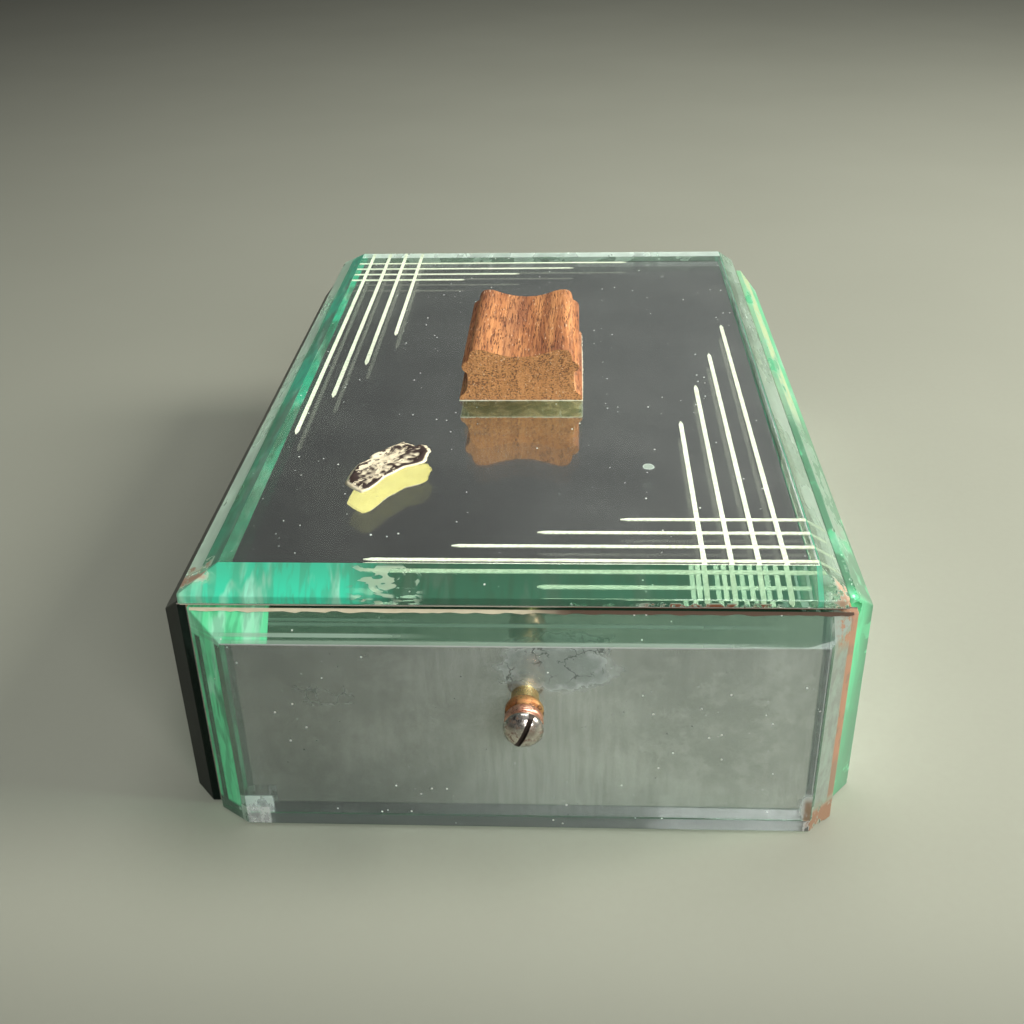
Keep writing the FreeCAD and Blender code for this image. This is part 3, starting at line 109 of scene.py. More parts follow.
class Finish:
    """A procedural material, with short names for its nodes. Lengths are in millimetres."""

    def __init__(self, name):
        self.material = bpy.data.materials.new(name)
        self.material.use_nodes = True
        self.tree = self.material.node_tree
        self.shader = self.tree.nodes["Principled BSDF"]
        self.output = self.tree.nodes["Material Output"]
        coordinates = self.tree.nodes.new("ShaderNodeTexCoord")
        self.place = self.vector("SCALE", coordinates.outputs["Object"], scale=1 / MM)
        self.x, self.y, self.z = self.split(self.place)

    def feed(self, socket, value):
        if isinstance(value, bpy.types.NodeSocket):
            self.tree.links.new(value, socket)
        elif socket.type == "RGBA" and len(value) == 3:
            socket.default_value = (*value, 1.0)
        else:
            socket.default_value = value

    def set(self, **values):
        for name, value in values.items():
            self.feed(self.shader.inputs[name.replace("_", " ")], value)

    def node(self, kind, settings=None, **inputs):
        made = self.tree.nodes.new(f"ShaderNode{kind}")
        for name, value in (settings or {}).items():
            setattr(made, name, value)
        for name, value in inputs.items():
            self.feed(made.inputs[name.replace("_", " ")], value)
        return made

    def times(self, first, second):
        return self.math("MULTIPLY", first, second)

    def math(self, operation, first, second=0.0):
        made = self.tree.nodes.new("ShaderNodeMath")
        made.operation = operation
        self.feed(made.inputs[0], first)
        self.feed(made.inputs[1], second)
        return made.outputs[0]

    def vector(self, operation, first, second=None, scale=None):
        made = self.tree.nodes.new("ShaderNodeVectorMath")
        made.operation = operation
        self.feed(made.inputs[0], first)
        if second is not None:
            self.feed(made.inputs[1], second)
        if scale is not None:
            self.feed(made.inputs["Scale"], scale)
        return made.outputs["Value"] if operation in ("DOT_PRODUCT", "LENGTH") else made.outputs["Vector"]

    def split(self, vector):
        return self.node("SeparateXYZ", Vector=vector).outputs

    def remap(self, value, low, high, to_low=0.0, to_high=1.0):
        """value eased from low..high to to_low..to_high."""
        made = self.node("MapRange", {"interpolation_type": "SMOOTHSTEP"})
        for number, item in enumerate((value, low, high, to_low, to_high)):
            self.feed(made.inputs[number], item)
        return made.outputs["Result"]

    def mix(self, share, low, high):
        """A colour between low and high."""
        made = self.tree.nodes.new("ShaderNodeMix")
        made.data_type = "RGBA"
        self.feed(made.inputs[0], share)
        self.feed(made.inputs[6], low)
        self.feed(made.inputs[7], high)
        return made.outputs[2]

    def stretched(self, stretch, shift=0.0):
        """The place, squeezed so that a pattern is drawn out by stretch along each axis."""
        squeeze = [1 / value for value in stretch]
        scaled = self.vector("MULTIPLY", self.place, squeeze)
        return self.vector("ADD", scaled, (shift, 2 * shift, 3 * shift))

    def leaning(self, axis, degrees):
        """From here on, patterns are laid out on a frame turned about this axis."""
        turned = self.node("VectorRotate", {"rotation_type": f"{axis}_AXIS"}, Vector=self.place)
        turned.inputs["Angle"].default_value = math.radians(degrees)
        self.place = turned.outputs["Vector"]

    def noise(self, size, stretch=(1, 1, 1), shift=0.0, detail=3.0, roughness=0.5, twist=0.0):
        made = self.node(
            "TexNoise", Vector=self.stretched(stretch, shift), Scale=1 / size,
            Detail=detail, Roughness=roughness, Distortion=twist,
        )
        return made.outputs["Fac"]

    def cells(self, size, stretch=(1, 1, 1), shift=0.0):
        """The distance to the heart of the nearest cell."""
        made = self.node("TexVoronoi", Vector=self.stretched(stretch, shift), Scale=1 / size)
        return made.outputs["Distance"]

    def between(self, value, low, high, soft):
        """1 where value lies from low to high, fading to 0 over soft."""
        rising = self.remap(value, low - soft, low)
        falling = self.remap(value, high, high + soft, 1.0, 0.0)
        return self.math("MULTIPLY", rising, falling)

    def both(self, *masks):
        result = masks[0]
        for mask in masks[1:]:
            result = self.math("MULTIPLY", result, mask)
        return result

    def either(self, *masks):
        result = masks[0]
        for mask in masks[1:]:
            result = self.math("MAXIMUM", result, mask)
        return result

    def facing(self, direction, least=0.95):
        """1 on faces that look along direction."""
        normal = self.node("NewGeometry").outputs["True Normal"]
        local = self.node(
            "VectorTransform", {"vector_type": "NORMAL", "convert_from": "WORLD", "convert_to": "OBJECT"},
            Vector=normal,
        ).outputs["Vector"]
        along = self.vector("DOT_PRODUCT", local, direction)
        return self.math("GREATER_THAN", along, least)

    def bump(self, height, strength=0.3, depth=0.1):
        made = self.node("Bump", Height=height, Strength=strength, Distance=depth * MM)
        self.set(Normal=made.outputs["Normal"])

    def blend(self, share, first, second):
        """A shader between first and second."""
        made = self.tree.nodes.new("ShaderNodeMixShader")
        self.feed(made.inputs[0], share)
        self.tree.links.new(first, made.inputs[1])
        self.tree.links.new(second, made.inputs[2])
        return made.outputs[0]

    def show(self, shader):
        self.tree.links.new(shader, self.output.inputs["Surface"])


# ---------------------------------------------------------------- glass and silver

def dust_specks(finish, size, cut, shift=0.0):
    """Sparse pale specks: the hearts of widely spaced cells, thinned out by a slow noise."""
    hearts = finish.remap(finish.cells(size, shift=shift), cut, cut * 1.6, 1.0, 0.0)
    thinning = finish.remap(finish.noise(9.0, shift=shift + 4.0), 0.52, 0.6)
    return finish.both(hearts, thinning)


def glass_finish(name, outward, glow, veil, glow_colour, edge_colour, stains=None):
    """Old green plate glass, its ground edges carrying painted glow for the light that has run through the
    plate.

    glow(finish) says where an edge's painted glow lies, veil is how much of the dark edge colour covers the
    other edges, and stains(finish) gives pairs of a mask and the colour of the dirt that covers the glass
    there."""
    finish = Finish(name)
    inward = tuple(-part for part in outward)
    face = finish.either(finish.facing(outward), finish.facing(inward))
    edge = finish.math("SUBTRACT", 1.0, face)
    smears = finish.noise(26.0, stretch=(1, 1, 3), detail=4.0)
    cover = dust_specks(finish, 3.2, 0.05)
    dirt = DUST
    for mask, colour in (stains(finish) if stains else ()):
        dirt = finish.mix(mask, dirt, colour)
        cover = finish.either(cover, mask)
    clear = finish.math("SUBTRACT", 1.0, cover)
    finish.set(
        Base_Color=finish.mix(cover, finish.mix(edge, GLASS_CLEAR, BEVEL_TINT), dirt),
        Roughness=finish.math(
            "ADD", finish.remap(smears, 0.45, 0.75, 0.004, 0.04), finish.times(cover, 0.7)
        ),
        Transmission_Weight=clear,
        IOR=GLASS_BEND,
    )
    share = glow(finish)
    streaks = finish.noise(1.5, stretch=(1.0, 6.0, 6.0), shift=2.0, detail=3.0, twist=0.4)
    broad = finish.noise(5.0, stretch=(1.0, 4.0, 4.0), shift=7.0, detail=3.0, twist=0.6)
    bright = finish.mix(finish.remap(broad, 0.52, 0.66, 0.0, 0.55), glow_colour, PALE_MINT)
    bright = finish.mix(finish.remap(streaks, 0.42, 0.56, 0.32, 0.0), bright, edge_colour)
    colour = finish.mix(share, edge_colour, bright)
    # a plate whose glow is dark green has painted shade on its edges, and its ground face reflects less
    painted_shade_edges = glow_colour == DEEP_GREEN
    ground_node = finish.node(
        "BsdfPrincipled",
        Base_Color=colour,
        Roughness=0.3,
        IOR=1.15 if painted_shade_edges else 1.35,
        Coat_Weight=0.0 if painted_shade_edges else 0.25,
        Coat_Roughness=0.05,
    )
    ground = ground_node.outputs[0]
    strength = finish.both(edge, clear, finish.remap(share, 0.0, 1.0, veil, GROUND_MOST))
    if outward[2] == 0:
        level = finish.either(finish.facing((0, 0, -1)), finish.facing((0, 0, 1)))
        foot = finish.both(level, finish.remap(finish.z, 1.0, 2.0, 1.0, 0.0))
        colour = finish.mix(foot, colour, FOOT_GREY)
        finish.feed(ground_node.inputs["Base Color"], colour)
        strength = finish.either(strength, foot)
    glass = finish.blend(strength, finish.shader.outputs[0], ground)
    ray = finish.node("LightPath").outputs["Is Shadow Ray"]
    passing = finish.node("BsdfTransparent", Color=GLASS_PASSING).outputs[0]
    finish.show(finish.blend(ray, glass, passing))
    tint = finish.node("VolumeAbsorption", Color=GLASS_GREEN, Density=GLASS_DENSITY)
    finish.tree.links.new(tint.outputs[0], finish.output.inputs["Volume"])
    return finish.material


def lid_glow(finish):
    """The front bevel shines at its left end, the left bevel along its inner half, the right at its rim."""
    front = finish.remap(finish.y, -104.5, -98.8, 1.0, 0.75)
    front = finish.both(front, finish.remap(finish.y, -98.9, -98.7, 1.0, 0.0))
    bright_front = finish.both(front, finish.between(finish.x, -61.0, -36.0, 18.0))
    inner = finish.between(finish.x, -63.4, -59.6, 0.9)
    along = finish.remap(finish.y, -70.0, 0.0, 0.45, 1.0)
    patches = finish.remap(finish.noise(12.0, stretch=(1, 2.5, 1), shift=3.0), 0.36, 0.48, 0.5, 1.0)
    left = finish.both(inner, along, patches)
    rim = finish.times(finish.between(finish.x, 59.6, 60.5, 0.2), 0.6)
    return finish.either(bright_front, left, rim, finish.times(front, 0.22))


def lid_stains(finish):
    """Cloudy grey outer bevels, broken front corners, rust brown along the foot of the front lip and curls of
    glue.
    """
    rough = finish.noise(2.2, shift=5.0, detail=5.0, roughness=0.65)
    front = finish.remap(finish.y, -99.6, -98.8, 1.0, 0.0)
    left_corner = finish.both(
        finish.remap(finish.x, -62.5, -60.5, 1.0, 0.0), finish.between(finish.y, -101.0, -95.0, 1.5),
    )
    right_corner = finish.both(finish.remap(finish.x, 60.5, 64.0), front)
    lip = finish.both(
        finish.between(finish.x, 27.0, 50.0, 4.0), finish.remap(finish.z, 55.5, 56.1, 1.0, 0.0),
        finish.remap(finish.y, -103.9, -103.7, 1.0, 0.0),
    )
    seen = finish.remap(rough, 0.44, 0.52)
    hook = finish.both(finish.between(finish.x, -31.0, -20.0, 3.0), front)
    curls = finish.remap(
        finish.noise(3.4, stretch=(1.8, 1, 1), shift=11.0, detail=2.0, twist=1.2), 0.5, 0.56, 0.0, 0.65,
    )
    cloudy = finish.remap(
        finish.noise(8.0, stretch=(1, 4, 1), shift=21.0, detail=4.0), 0.35, 0.65, 0.25, 0.60,
    )
    right = finish.both(finish.remap(finish.x, 60.6, 61.0), finish.remap(finish.y, -98.0, -94.0), cloudy)
    rear = finish.both(finish.remap(finish.y, 99.0, 99.4), cloudy)
    outer = finish.both(
        finish.remap(finish.x, -64.2, -63.4, 1.0, 0.0), finish.remap(finish.y, -99.0, -97.0), cloudy,
    )
    return (
        (finish.either(right, rear, outer), (0.075, 0.082, 0.072)),
        (finish.both(left_corner, seen), PEACH),
        (finish.both(right_corner, seen), PEACH),
        (finish.both(lip, seen), RUST),
        (finish.both(hook, curls), (0.40, 0.52, 0.24)),
    )


def front_glow(finish):
    """A bright strip beside the face at the left, a pale outer line and a bright patch at the top."""
    low = finish.remap(finish.z, 3.5, 5.0)
    broken = finish.remap(finish.noise(5.0, stretch=(1, 1, 5), shift=5.0), 0.38, 0.44, 0.55, 1.0)
    strip = finish.both(finish.between(finish.x, -63.5, -60.2, 0.3), low, broken)
    outer = finish.both(finish.remap(finish.x, -65.1, -64.7, 0.8, 0.0), low)
    top_left = finish.both(
        finish.remap(finish.x, -49.2, -48.9, 1.0, 0.0), finish.remap(finish.z, 47.4, 48.4),
    )
    return finish.either(strip, outer, top_left)


def front_stains(finish):
    """Fine lines along the top, a grey right bevel with brown glue, broken corners and a pale scuff."""
    rough = finish.noise(2.6, stretch=(1, 1, 2), shift=5.0, detail=5.0, roughness=0.65)
    seen = finish.remap(rough, 0.42, 0.50)
    seam = finish.both(finish.remap(finish.x, 65.6, 66.3), finish.remap(finish.z, 12.0, 20.0))
    top_corner = finish.both(finish.remap(finish.x, 61.5, 64.5), finish.remap(finish.z, 45.0, 49.0))
    low_corner = finish.both(finish.remap(finish.x, 60.0, 62.0), finish.remap(finish.z, 5.0, 9.0, 1.0, 0.0))
    scuff = finish.both(
        finish.between(finish.x, -60.0, -54.0, 0.6), finish.remap(finish.z, 5.0, 5.6, 1.0, 0.0),
    )
    low_line = finish.both(
        finish.between(finish.x, -48.0, 30.0, 30.0), finish.between(finish.z, 48.5, 49.0, 0.4)
    )
    high_line = finish.both(
        finish.between(finish.x, -48.0, -35.0, 22.0), finish.between(finish.z, 49.8, 50.1, 0.3)
    )
    lines = finish.either(
        finish.times(low_line, 0.45), finish.times(high_line, 0.7),
    )
    above = finish.remap(finish.z, 4.0, 8.0)
    cloudy = finish.remap(rough, 0.3, 0.6, 0.55, 0.85)
    pale = finish.both(finish.between(finish.x, 62.9, 65.9, 0.3), above, cloudy)
    tan = finish.both(finish.remap(finish.x, 65.8, 66.1), above)
    return (
        (lines, (0.075, 0.20, 0.13)),
        (pale, (0.135, 0.125, 0.11)),
        (tan, (0.26, 0.175, 0.115)),
        (finish.both(finish.either(seam, top_corner), seen), (0.36, 0.20, 0.12)),
        (finish.both(low_corner, seen), (0.26, 0.15, 0.09)),
        (finish.both(scuff, finish.remap(rough, 0.35, 0.6, 0.15, 0.5)), (0.36, 0.48, 0.40)),
    )


def right_glow(finish):
    """The right-hand plate shines most at its front corner and in pale streaks along its top."""
    front = finish.remap(finish.y, -92.0, -99.0)
    fall = finish.remap(finish.z, 8.0, 46.0, 0.35, 1.0)
    back = finish.remap(finish.y, -30.0, 10.0, 0.0, 0.8)
    spots = finish.remap(finish.noise(5.0, stretch=(1, 3, 1), shift=4.0), 0.58, 0.66, 0.1, 0.7)
    return finish.either(finish.both(front, fall), back, spots)


def right_stains(finish):
    """A pale yellow streak along the back half of the top, and dark dirt along the front half."""
    rough = finish.noise(4.0, stretch=(1, 3, 1), shift=17.0, detail=4.0)
    streak = finish.both(
        finish.between(finish.z, 51.2, 53.8, 0.5), finish.remap(finish.y, -35.0, 0.0),
        finish.remap(rough, 0.32, 0.5, 0.25, 0.9),
    )
    dirt = finish.both(
        finish.between(finish.z, 49.8, 53.6, 0.5), finish.remap(finish.y, -10.0, -40.0),
        finish.remap(finish.y, -98.0, -94.0), finish.remap(rough, 0.40, 0.56, 0.75, 0.15),
    )
    return (
        (streak, (0.40, 0.47, 0.22)),
        (dirt, (0.11, 0.14, 0.08)),
    )


def even_glow(amount):
    """A glow function for a plate whose edges all shine alike."""
    def glow(finish):
        return finish.remap(
            finish.noise(12.0, stretch=(1, 2, 2), shift=1.0), 0.3, 0.65, amount * 0.6, amount,
        )
    return glow


def silver_finish(name, light, dark, matte, marks=(), cracked=(), left_end_painted_shade=0.0):
    """Silver film gone grey: upright streaks, pin holes, dull marks, and patches where it has cracked.

    matte is how dull the whole film is, and the last argument is how much painted shade darkens the left end."""
    finish = Finish(name)
    streaks = finish.noise(1.1, stretch=(1.0, 1.0, 14.0), detail=2.0)
    clouds = finish.noise(30.0, shift=3.0, detail=5.0)
    mottle = finish.noise(3.0, shift=13.0, detail=4.0, roughness=0.7)
    grey = finish.mix(finish.remap(clouds, 0.3, 0.7), dark, light)
    grey = finish.mix(finish.remap(streaks, 0.38, 0.66, 0.0, 0.35), grey, dark)
    grey = finish.mix(finish.remap(mottle, 0.45, 0.65, 0.0, 0.35), grey, light)
    holes = finish.remap(finish.cells(2.6, shift=8.0), 0.05, 0.09, 1.0, 0.0)
    thinning = finish.remap(finish.noise(14.0, shift=1.5), 0.56, 0.66)
    damage = finish.both(holes, thinning)
    for low, high, size in cracked:
        inside = finish.both(
            finish.between(finish.x, low[0], high[0], 2.0), finish.between(finish.z, low[1], high[1], 1.5)
        )
        damage = finish.either(damage, finish.both(inside, crack_lines(finish, size)))
    dull = damage
    ragged = finish.remap(finish.noise(3.0, shift=9.0, detail=4.0), 0.3, 0.7, -0.12, 0.12)
    for middle, half, colour in marks:
        offset = finish.vector("SUBTRACT", finish.place, middle)
        away = finish.vector("LENGTH", finish.vector("DIVIDE", offset, half))
        mark = finish.remap(finish.math("ADD", away, ragged), 0.55, 1.0, 1.0, 0.0)
        tone = finish.mix(finish.remap(mottle, 0.4, 0.7, 0.0, 0.10), colour, light)
        grey = finish.mix(mark, grey, tone)
        dull = finish.either(dull, mark)
    # painted shade: the film's colour darkens towards the left end
    dim = finish.remap(finish.x, -62.0, 62.0, 1.0 - left_end_painted_shade, 1.0)
    grey = finish.vector("SCALE", grey, scale=dim)
    mirror = finish.math("SUBTRACT", 1.0 - matte, finish.times(dull, 1.0 - matte))
    finish.set(
        Base_Color=finish.mix(damage, grey, (0.03, 0.035, 0.03)),
        Metallic=mirror,
        Roughness=finish.math("ADD", finish.remap(clouds, 0.3, 0.75, 0.04, 0.10), finish.times(dull, 0.5)),
    )
    return finish.material


def crack_lines(finish, size):
    """Wandering cracks between cells, broken here and there."""
    wander = finish.node("TexNoise", Vector=finish.place, Scale=0.45, Detail=3.0).outputs["Color"]
    bent = finish.vector("ADD", finish.place, finish.vector("SCALE", wander, scale=0.9 * size))
    cells = finish.node("TexVoronoi", {"feature": "DISTANCE_TO_EDGE"}, Vector=bent, Scale=1 / size)
    lines = finish.remap(cells.outputs["Distance"], 0.012, 0.035, 0.9, 0.0)
    return finish.both(lines, finish.remap(finish.noise(4.0, shift=6.0), 0.42, 0.52))


# ---------------------------------------------------------------- wood, card, felt

def mahogany():
    """Bare carved mahogany, its grain along Y, with open pores that show as dots on the sawn ends."""
    finish = Finish("mahogany_bare")
    ends = finish.either(finish.facing((0, -1, 0), 0.7), finish.facing((0, 1, 0), 0.7))
    rings = finish.noise(4.0, stretch=(1, 14, 1.6), detail=4.0, twist=0.6)
    fibres = finish.noise(0.5, stretch=(1, 14, 1.5), shift=5.0, detail=3.0, roughness=0.65)
    broad = finish.noise(7.0, stretch=(1, 6, 2), shift=15.0, detail=2.0)
    body = finish.mix(finish.remap(rings, 0.36, 0.66), (0.36, 0.125, 0.040), (0.72, 0.32, 0.115))
    body = finish.mix(finish.remap(broad, 0.48, 0.62, 0.0, 0.45), body, (0.20, 0.075, 0.04))
    body = finish.mix(finish.remap(fibres, 0.46, 0.66, 0.0, 0.8), body, (0.13, 0.040, 0.018))
    pores = finish.remap(finish.cells(0.5, stretch=(1, 7, 1.4)), 0.20, 0.36, 0.7, 0.0)
    some = finish.remap(finish.noise(2.4, stretch=(1, 4, 1), shift=9.0), 0.40, 0.52)
    sawn = finish.noise(0.36, stretch=(1.5, 1, 1), shift=21.0, detail=2.0, roughness=0.5)
    rows = finish.remap(finish.noise(0.9, stretch=(1, 1, 9), shift=31.0), 0.40, 0.55, 0.35, 1.0)
    dots = finish.both(finish.remap(sawn, 0.48, 0.60, 0.0, 0.75), rows)
    body = finish.mix(finish.times(ends, 0.75), body, (0.50, 0.225, 0.072))
    glints = finish.remap(finish.noise(0.5, stretch=(1, 5, 1), shift=12.0), 0.64, 0.72, 0.0, 0.6)
    body = finish.mix(glints, body, (0.88, 0.66, 0.44))
    holes = finish.either(finish.both(pores, some), finish.both(ends, dots))
    finish.set(
        Base_Color=finish.mix(holes, body, (0.050, 0.018, 0.010)),
        Roughness=finish.remap(fibres, 0.3, 0.7, 0.58, 0.85),
    )
    height = finish.math("SUBTRACT", finish.times(fibres, -0.8), holes)
    finish.bump(height, strength=0.9, depth=0.25)
    return finish.material


def case_wood():
    """Plain oiled softwood, its grain along Y."""
    finish = Finish("case_softwood")
    rings = finish.noise(4.0, stretch=(1, 25, 1), detail=3.0, twist=0.5)
    fibres = finish.noise(0.5, stretch=(1, 30, 1), shift=3.0, detail=3.0)
    body = finish.mix(finish.remap(rings, 0.4, 0.62), (0.30, 0.155, 0.07), (0.46, 0.27, 0.135))
    finish.set(
        Base_Color=finish.mix(finish.remap(fibres, 0.45, 0.7, 0.0, 0.5), body, (0.17, 0.085, 0.04)),
        Roughness=finish.remap(fibres, 0.3, 0.7, 0.5, 0.7),
    )
    finish.bump(fibres, strength=0.4, depth=0.1)
    return finish.material


def card_finish():
    """Cream card that turns rust brown towards the right."""
    finish = Finish("cream_card")
    fibres = finish.noise(0.8, stretch=(3, 3, 1), detail=4.0)
    # darker rust brown towards the right, along a wavering line
    dirt = finish.remap(finish.math("ADD", finish.x, finish.times(finish.noise(7.0), 30.0)), 14.0, 34.0)
    card_cream = finish.mix(fibres, (0.62, 0.56, 0.40), (0.80, 0.74, 0.58))
    finish.set(Base_Color=finish.mix(dirt, card_cream, RUST), Roughness=0.85)
    finish.bump(fibres, strength=0.3, depth=0.05)
    return finish.material


def felt_finish(name, dark, light):
    finish = Finish(name)
    tufts = finish.noise(0.35, detail=5.0, roughness=0.7)
    clouds = finish.noise(11.0, shift=3.0)
    shade = finish.mix(finish.remap(tufts, 0.3, 0.7), dark, light)
    finish.set(
        Base_Color=finish.mix(finish.remap(clouds, 0.4, 0.7, 0.0, 0.3), shade, dark),
        Roughness=0.95,
        Sheen_Weight=0.5,
        Sheen_Roughness=0.6,
    )
    finish.bump(tufts, strength=0.7, depth=0.15)
    return finish.material


# ---------------------------------------------------------------- metals

def metal_finish(name, bright, dull, roughness, stretch=(1, 1, 1), stain=None):
    """Metal with fine drawn scratches and patches of tarnish."""
    finish = Finish(name)
    scratches = finish.noise(0.18, stretch=stretch, detail=3.0)
    patches = finish.noise(3.5, shift=6.0, detail=5.0)
    colour = finish.mix(finish.remap(patches, 0.42, 0.68), bright, dull)
    if stain:
        spots = finish.remap(finish.noise(1.1, shift=2.0, detail=5.0, roughness=0.7), 0.5, 0.62)
        colour = finish.mix(spots, colour, stain)
        finish.set(Metallic=finish.remap(spots, 0.0, 1.0, 1.0, 0.45))
    else:
        finish.set(Metallic=1.0)
    finish.set(
        Base_Color=colour,
        Roughness=finish.math(
            "ADD", finish.remap(scratches, 0.3, 0.7, roughness - 0.06, roughness + 0.08),
            finish.remap(patches, 0.45, 0.7, 0.0, 0.15),
        ),
    )
    finish.bump(scratches, strength=0.25, depth=0.02)
    return finish.material


def iron_finish():
    """A sand casting under black paint."""
    finish = Finish("bed_iron_paint")
    sand = finish.noise(0.6, detail=5.0, roughness=0.65)
    rubbed = finish.remap(finish.noise(5.0, shift=4.0, detail=4.0), 0.58, 0.7, 0.0, 0.6)
    finish.set(
        Base_Color=finish.mix(rubbed, (0.022, 0.023, 0.024), (0.13, 0.115, 0.10)),
        Metallic=0.4,
        Roughness=finish.remap(sand, 0.3, 0.7, 0.38, 0.6),
    )
    finish.bump(sand, strength=0.5, depth=0.12)
    return finish.material


def grime_finish():
    """Dark grime packed into a screw's slot."""
    finish = Finish("slot_grime")
    grain = finish.noise(0.3, detail=4.0)
    finish.set(Base_Color=finish.mix(grain, (0.012, 0.008, 0.006), (0.05, 0.03, 0.02)), Roughness=0.7)
    finish.bump(grain, strength=0.5, depth=0.05)
    return finish.material


def engraving_finish():
    finish = Finish("engraved_line_fill")
    grain = finish.noise(0.7, detail=4.0, roughness=0.7)
    finish.set(
        Base_Color=finish.mix(finish.remap(grain, 0.35, 0.65), (0.58, 0.56, 0.43), (0.86, 0.83, 0.68)),
        Roughness=0.7,
    )
    finish.bump(grain, strength=0.4, depth=0.05)
    return finish.material


def residue_finish():
    """Old glue: pale yellow beneath, cream above, with scraps of a dark brown skin along its length."""
    finish = Finish("glue_residue")
    under = finish.facing((0, 0, -1), 0.4)
    rim = finish.remap(finish.z, 61.62, 61.85)
    finish.leaning("Z", -RESIDUE_LEAN)
    torn = finish.noise(4.2, stretch=(1.9, 1, 1), detail=5.0, roughness=0.72, twist=0.9)
    grain = finish.noise(0.8, shift=4.0, detail=3.0)
    skin = finish.both(finish.remap(torn, 0.445, 0.465), rim, finish.math("SUBTRACT", 1.0, under))
    cream = finish.mix(grain, (0.74, 0.62, 0.38), (0.90, 0.84, 0.64))
    yellow = finish.mix(grain, (0.58, 0.52, 0.20), (0.70, 0.66, 0.30))
    top = finish.mix(skin, cream, (0.030, 0.014, 0.010))
    finish.set(Base_Color=finish.mix(under, top, yellow), Roughness=0.6)
    finish.bump(torn, strength=0.7, depth=0.3)
    through = finish.node("BsdfTranslucent", Color=(0.92, 0.86, 0.46)).outputs[0]
    body = finish.blend(finish.times(under, 0.6), finish.shader.outputs[0], through)
    ray = finish.node("LightPath").outputs["Is Shadow Ray"]
    passing = finish.node("BsdfTransparent", Color=(0.98, 0.97, 0.86)).outputs[0]
    finish.show(finish.blend(ray, body, passing))
    return finish.material


def tape_finish():
    """A strip of old cream paper tape that turns brown towards the right."""
    finish = Finish("paper_tape")
    fibres = finish.noise(0.8, stretch=(3, 1, 1), detail=4.0)
    # darker brown towards the right, along a wavering line
    brown_share_right = finish.remap(
        finish.math("ADD", finish.x, finish.times(finish.noise(9.0, detail=4.0), 30.0)), 8.0, 30.0
    )
    tape_cream = finish.mix(fibres, (0.40, 0.34, 0.22), (0.66, 0.60, 0.44))
    finish.set(Base_Color=finish.mix(brown_share_right, tape_cream, (0.075, 0.040, 0.022)), Roughness=0.8)
    finish.bump(fibres, strength=0.4, depth=0.05)
    return finish.material


def floor_finish():
    finish = Finish("studio_floor")
    clouds = finish.noise(140.0, detail=3.0)
    paper = finish.noise(2.0, shift=4.0, detail=4.0)
    shade = finish.mix(clouds, (0.285, 0.295, 0.235), (0.325, 0.335, 0.27))
    # painted shade: the floor darkens towards the left and towards the near side
    left = finish.remap(finish.x, -900.0, 100.0, 0.35, 1.0)
    near = finish.remap(finish.y, -195.0, -120.0, 0.35, 1.0)
    shade = finish.mix(finish.both(left, near), (0.10, 0.104, 0.083), shade)
    finish.set(
        Base_Color=finish.mix(finish.remap(paper, 0.3, 0.7, 0.0, 0.08), shade, (0.26, 0.26, 0.21)),
        Roughness=0.9,
    )
    finish.bump(paper, strength=0.1, depth=0.1)
    return finish.material


# ---------------------------------------------------------------- mesh helpers

def piece(name, mesh, body, material):
    made = bpy.data.objects.new(name, mesh)
    bpy.context.scene.collection.objects.link(made)
    made.data.materials.clear()
    made.data.materials.append(material)
    if body:
        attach(made, body)
    return made


def mesh_from(build, name, smooth=False):
    """A mesh filled by build(form), with its normals made to face outwards."""
    form = bmesh.new()
    build(form)
    bmesh.ops.recalc_face_normals(form, faces=form.faces)
    mesh = bpy.data.meshes.new(name)
    form.to_mesh(mesh)
    form.free()
    for face in mesh.polygons:
        face.use_smooth = smooth
    return mesh


def loop_of(form, points):
    return [form.verts.new(Vector(point) * MM) for point in points]


def bridge(form, first, second):
    for number in range(len(first)):
        after = (number + 1) % len(first)
        form.faces.new((first[number], first[after], second[after], second[number]))


def rectangle(left, right, low, high, level):
    return [(left, low, level), (right, low, level), (right, high, level), (left, high, level)]


def modified(mesh, *settings):
    """The mesh with these modifiers applied: each is (type, {name: value})."""
    holder = bpy.data.objects.new("holder", mesh)
    bpy.context.scene.collection.objects.link(holder)
    for kind, values in settings:
        modifier = holder.modifiers.new(kind, kind)
        for name, value in values.items():
            setattr(modifier, name, value)
    bpy.context.view_layer.update()
    view = bpy.context.evaluated_depsgraph_get()
    result = bpy.data.meshes.new_from_object(holder.evaluated_get(view))
    bpy.data.objects.remove(holder)
    return result


# ---------------------------------------------------------------- plates

PLATE_SIDES = {
    "lid_glass": ((1, 0, 0), (0, 1, 0), (0, 0, 1)),
    "front_glass": ((1, 0, 0), (0, 0, 1), (0, -1, 0)),
    "back_glass": ((-1, 0, 0), (0, 0, 1), (0, 1, 0)),
    "left_glass": ((0, -1, 0), (0, 0, 1), (-1, 0, 0)),
    "right_glass": ((0, 1, 0), (0, 0, 1), (1, 0, 0)),
}


def plate_matrix(node):
    """The matrix from a plate's own frame, where its back is on Z = 0, and its half width, half height
    and thickness."""
    across, up, out = (Vector(axis) for axis in PLATE_SIDES[node])
    low, high = (Vector(corner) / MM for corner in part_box(node))
    middle = (low + high) / 2
    half = (high - low) / 2
    half_wide = abs(across.dot(half))
    half_high = abs(up.dot(half))
    half_thick = abs(out.dot(half))
    matrix = Matrix((across, up, out)).transposed().to_4x4()
    matrix.translation = (middle - out * half_thick) * MM
    return matrix, half_wide, half_high, 2 * half_thick


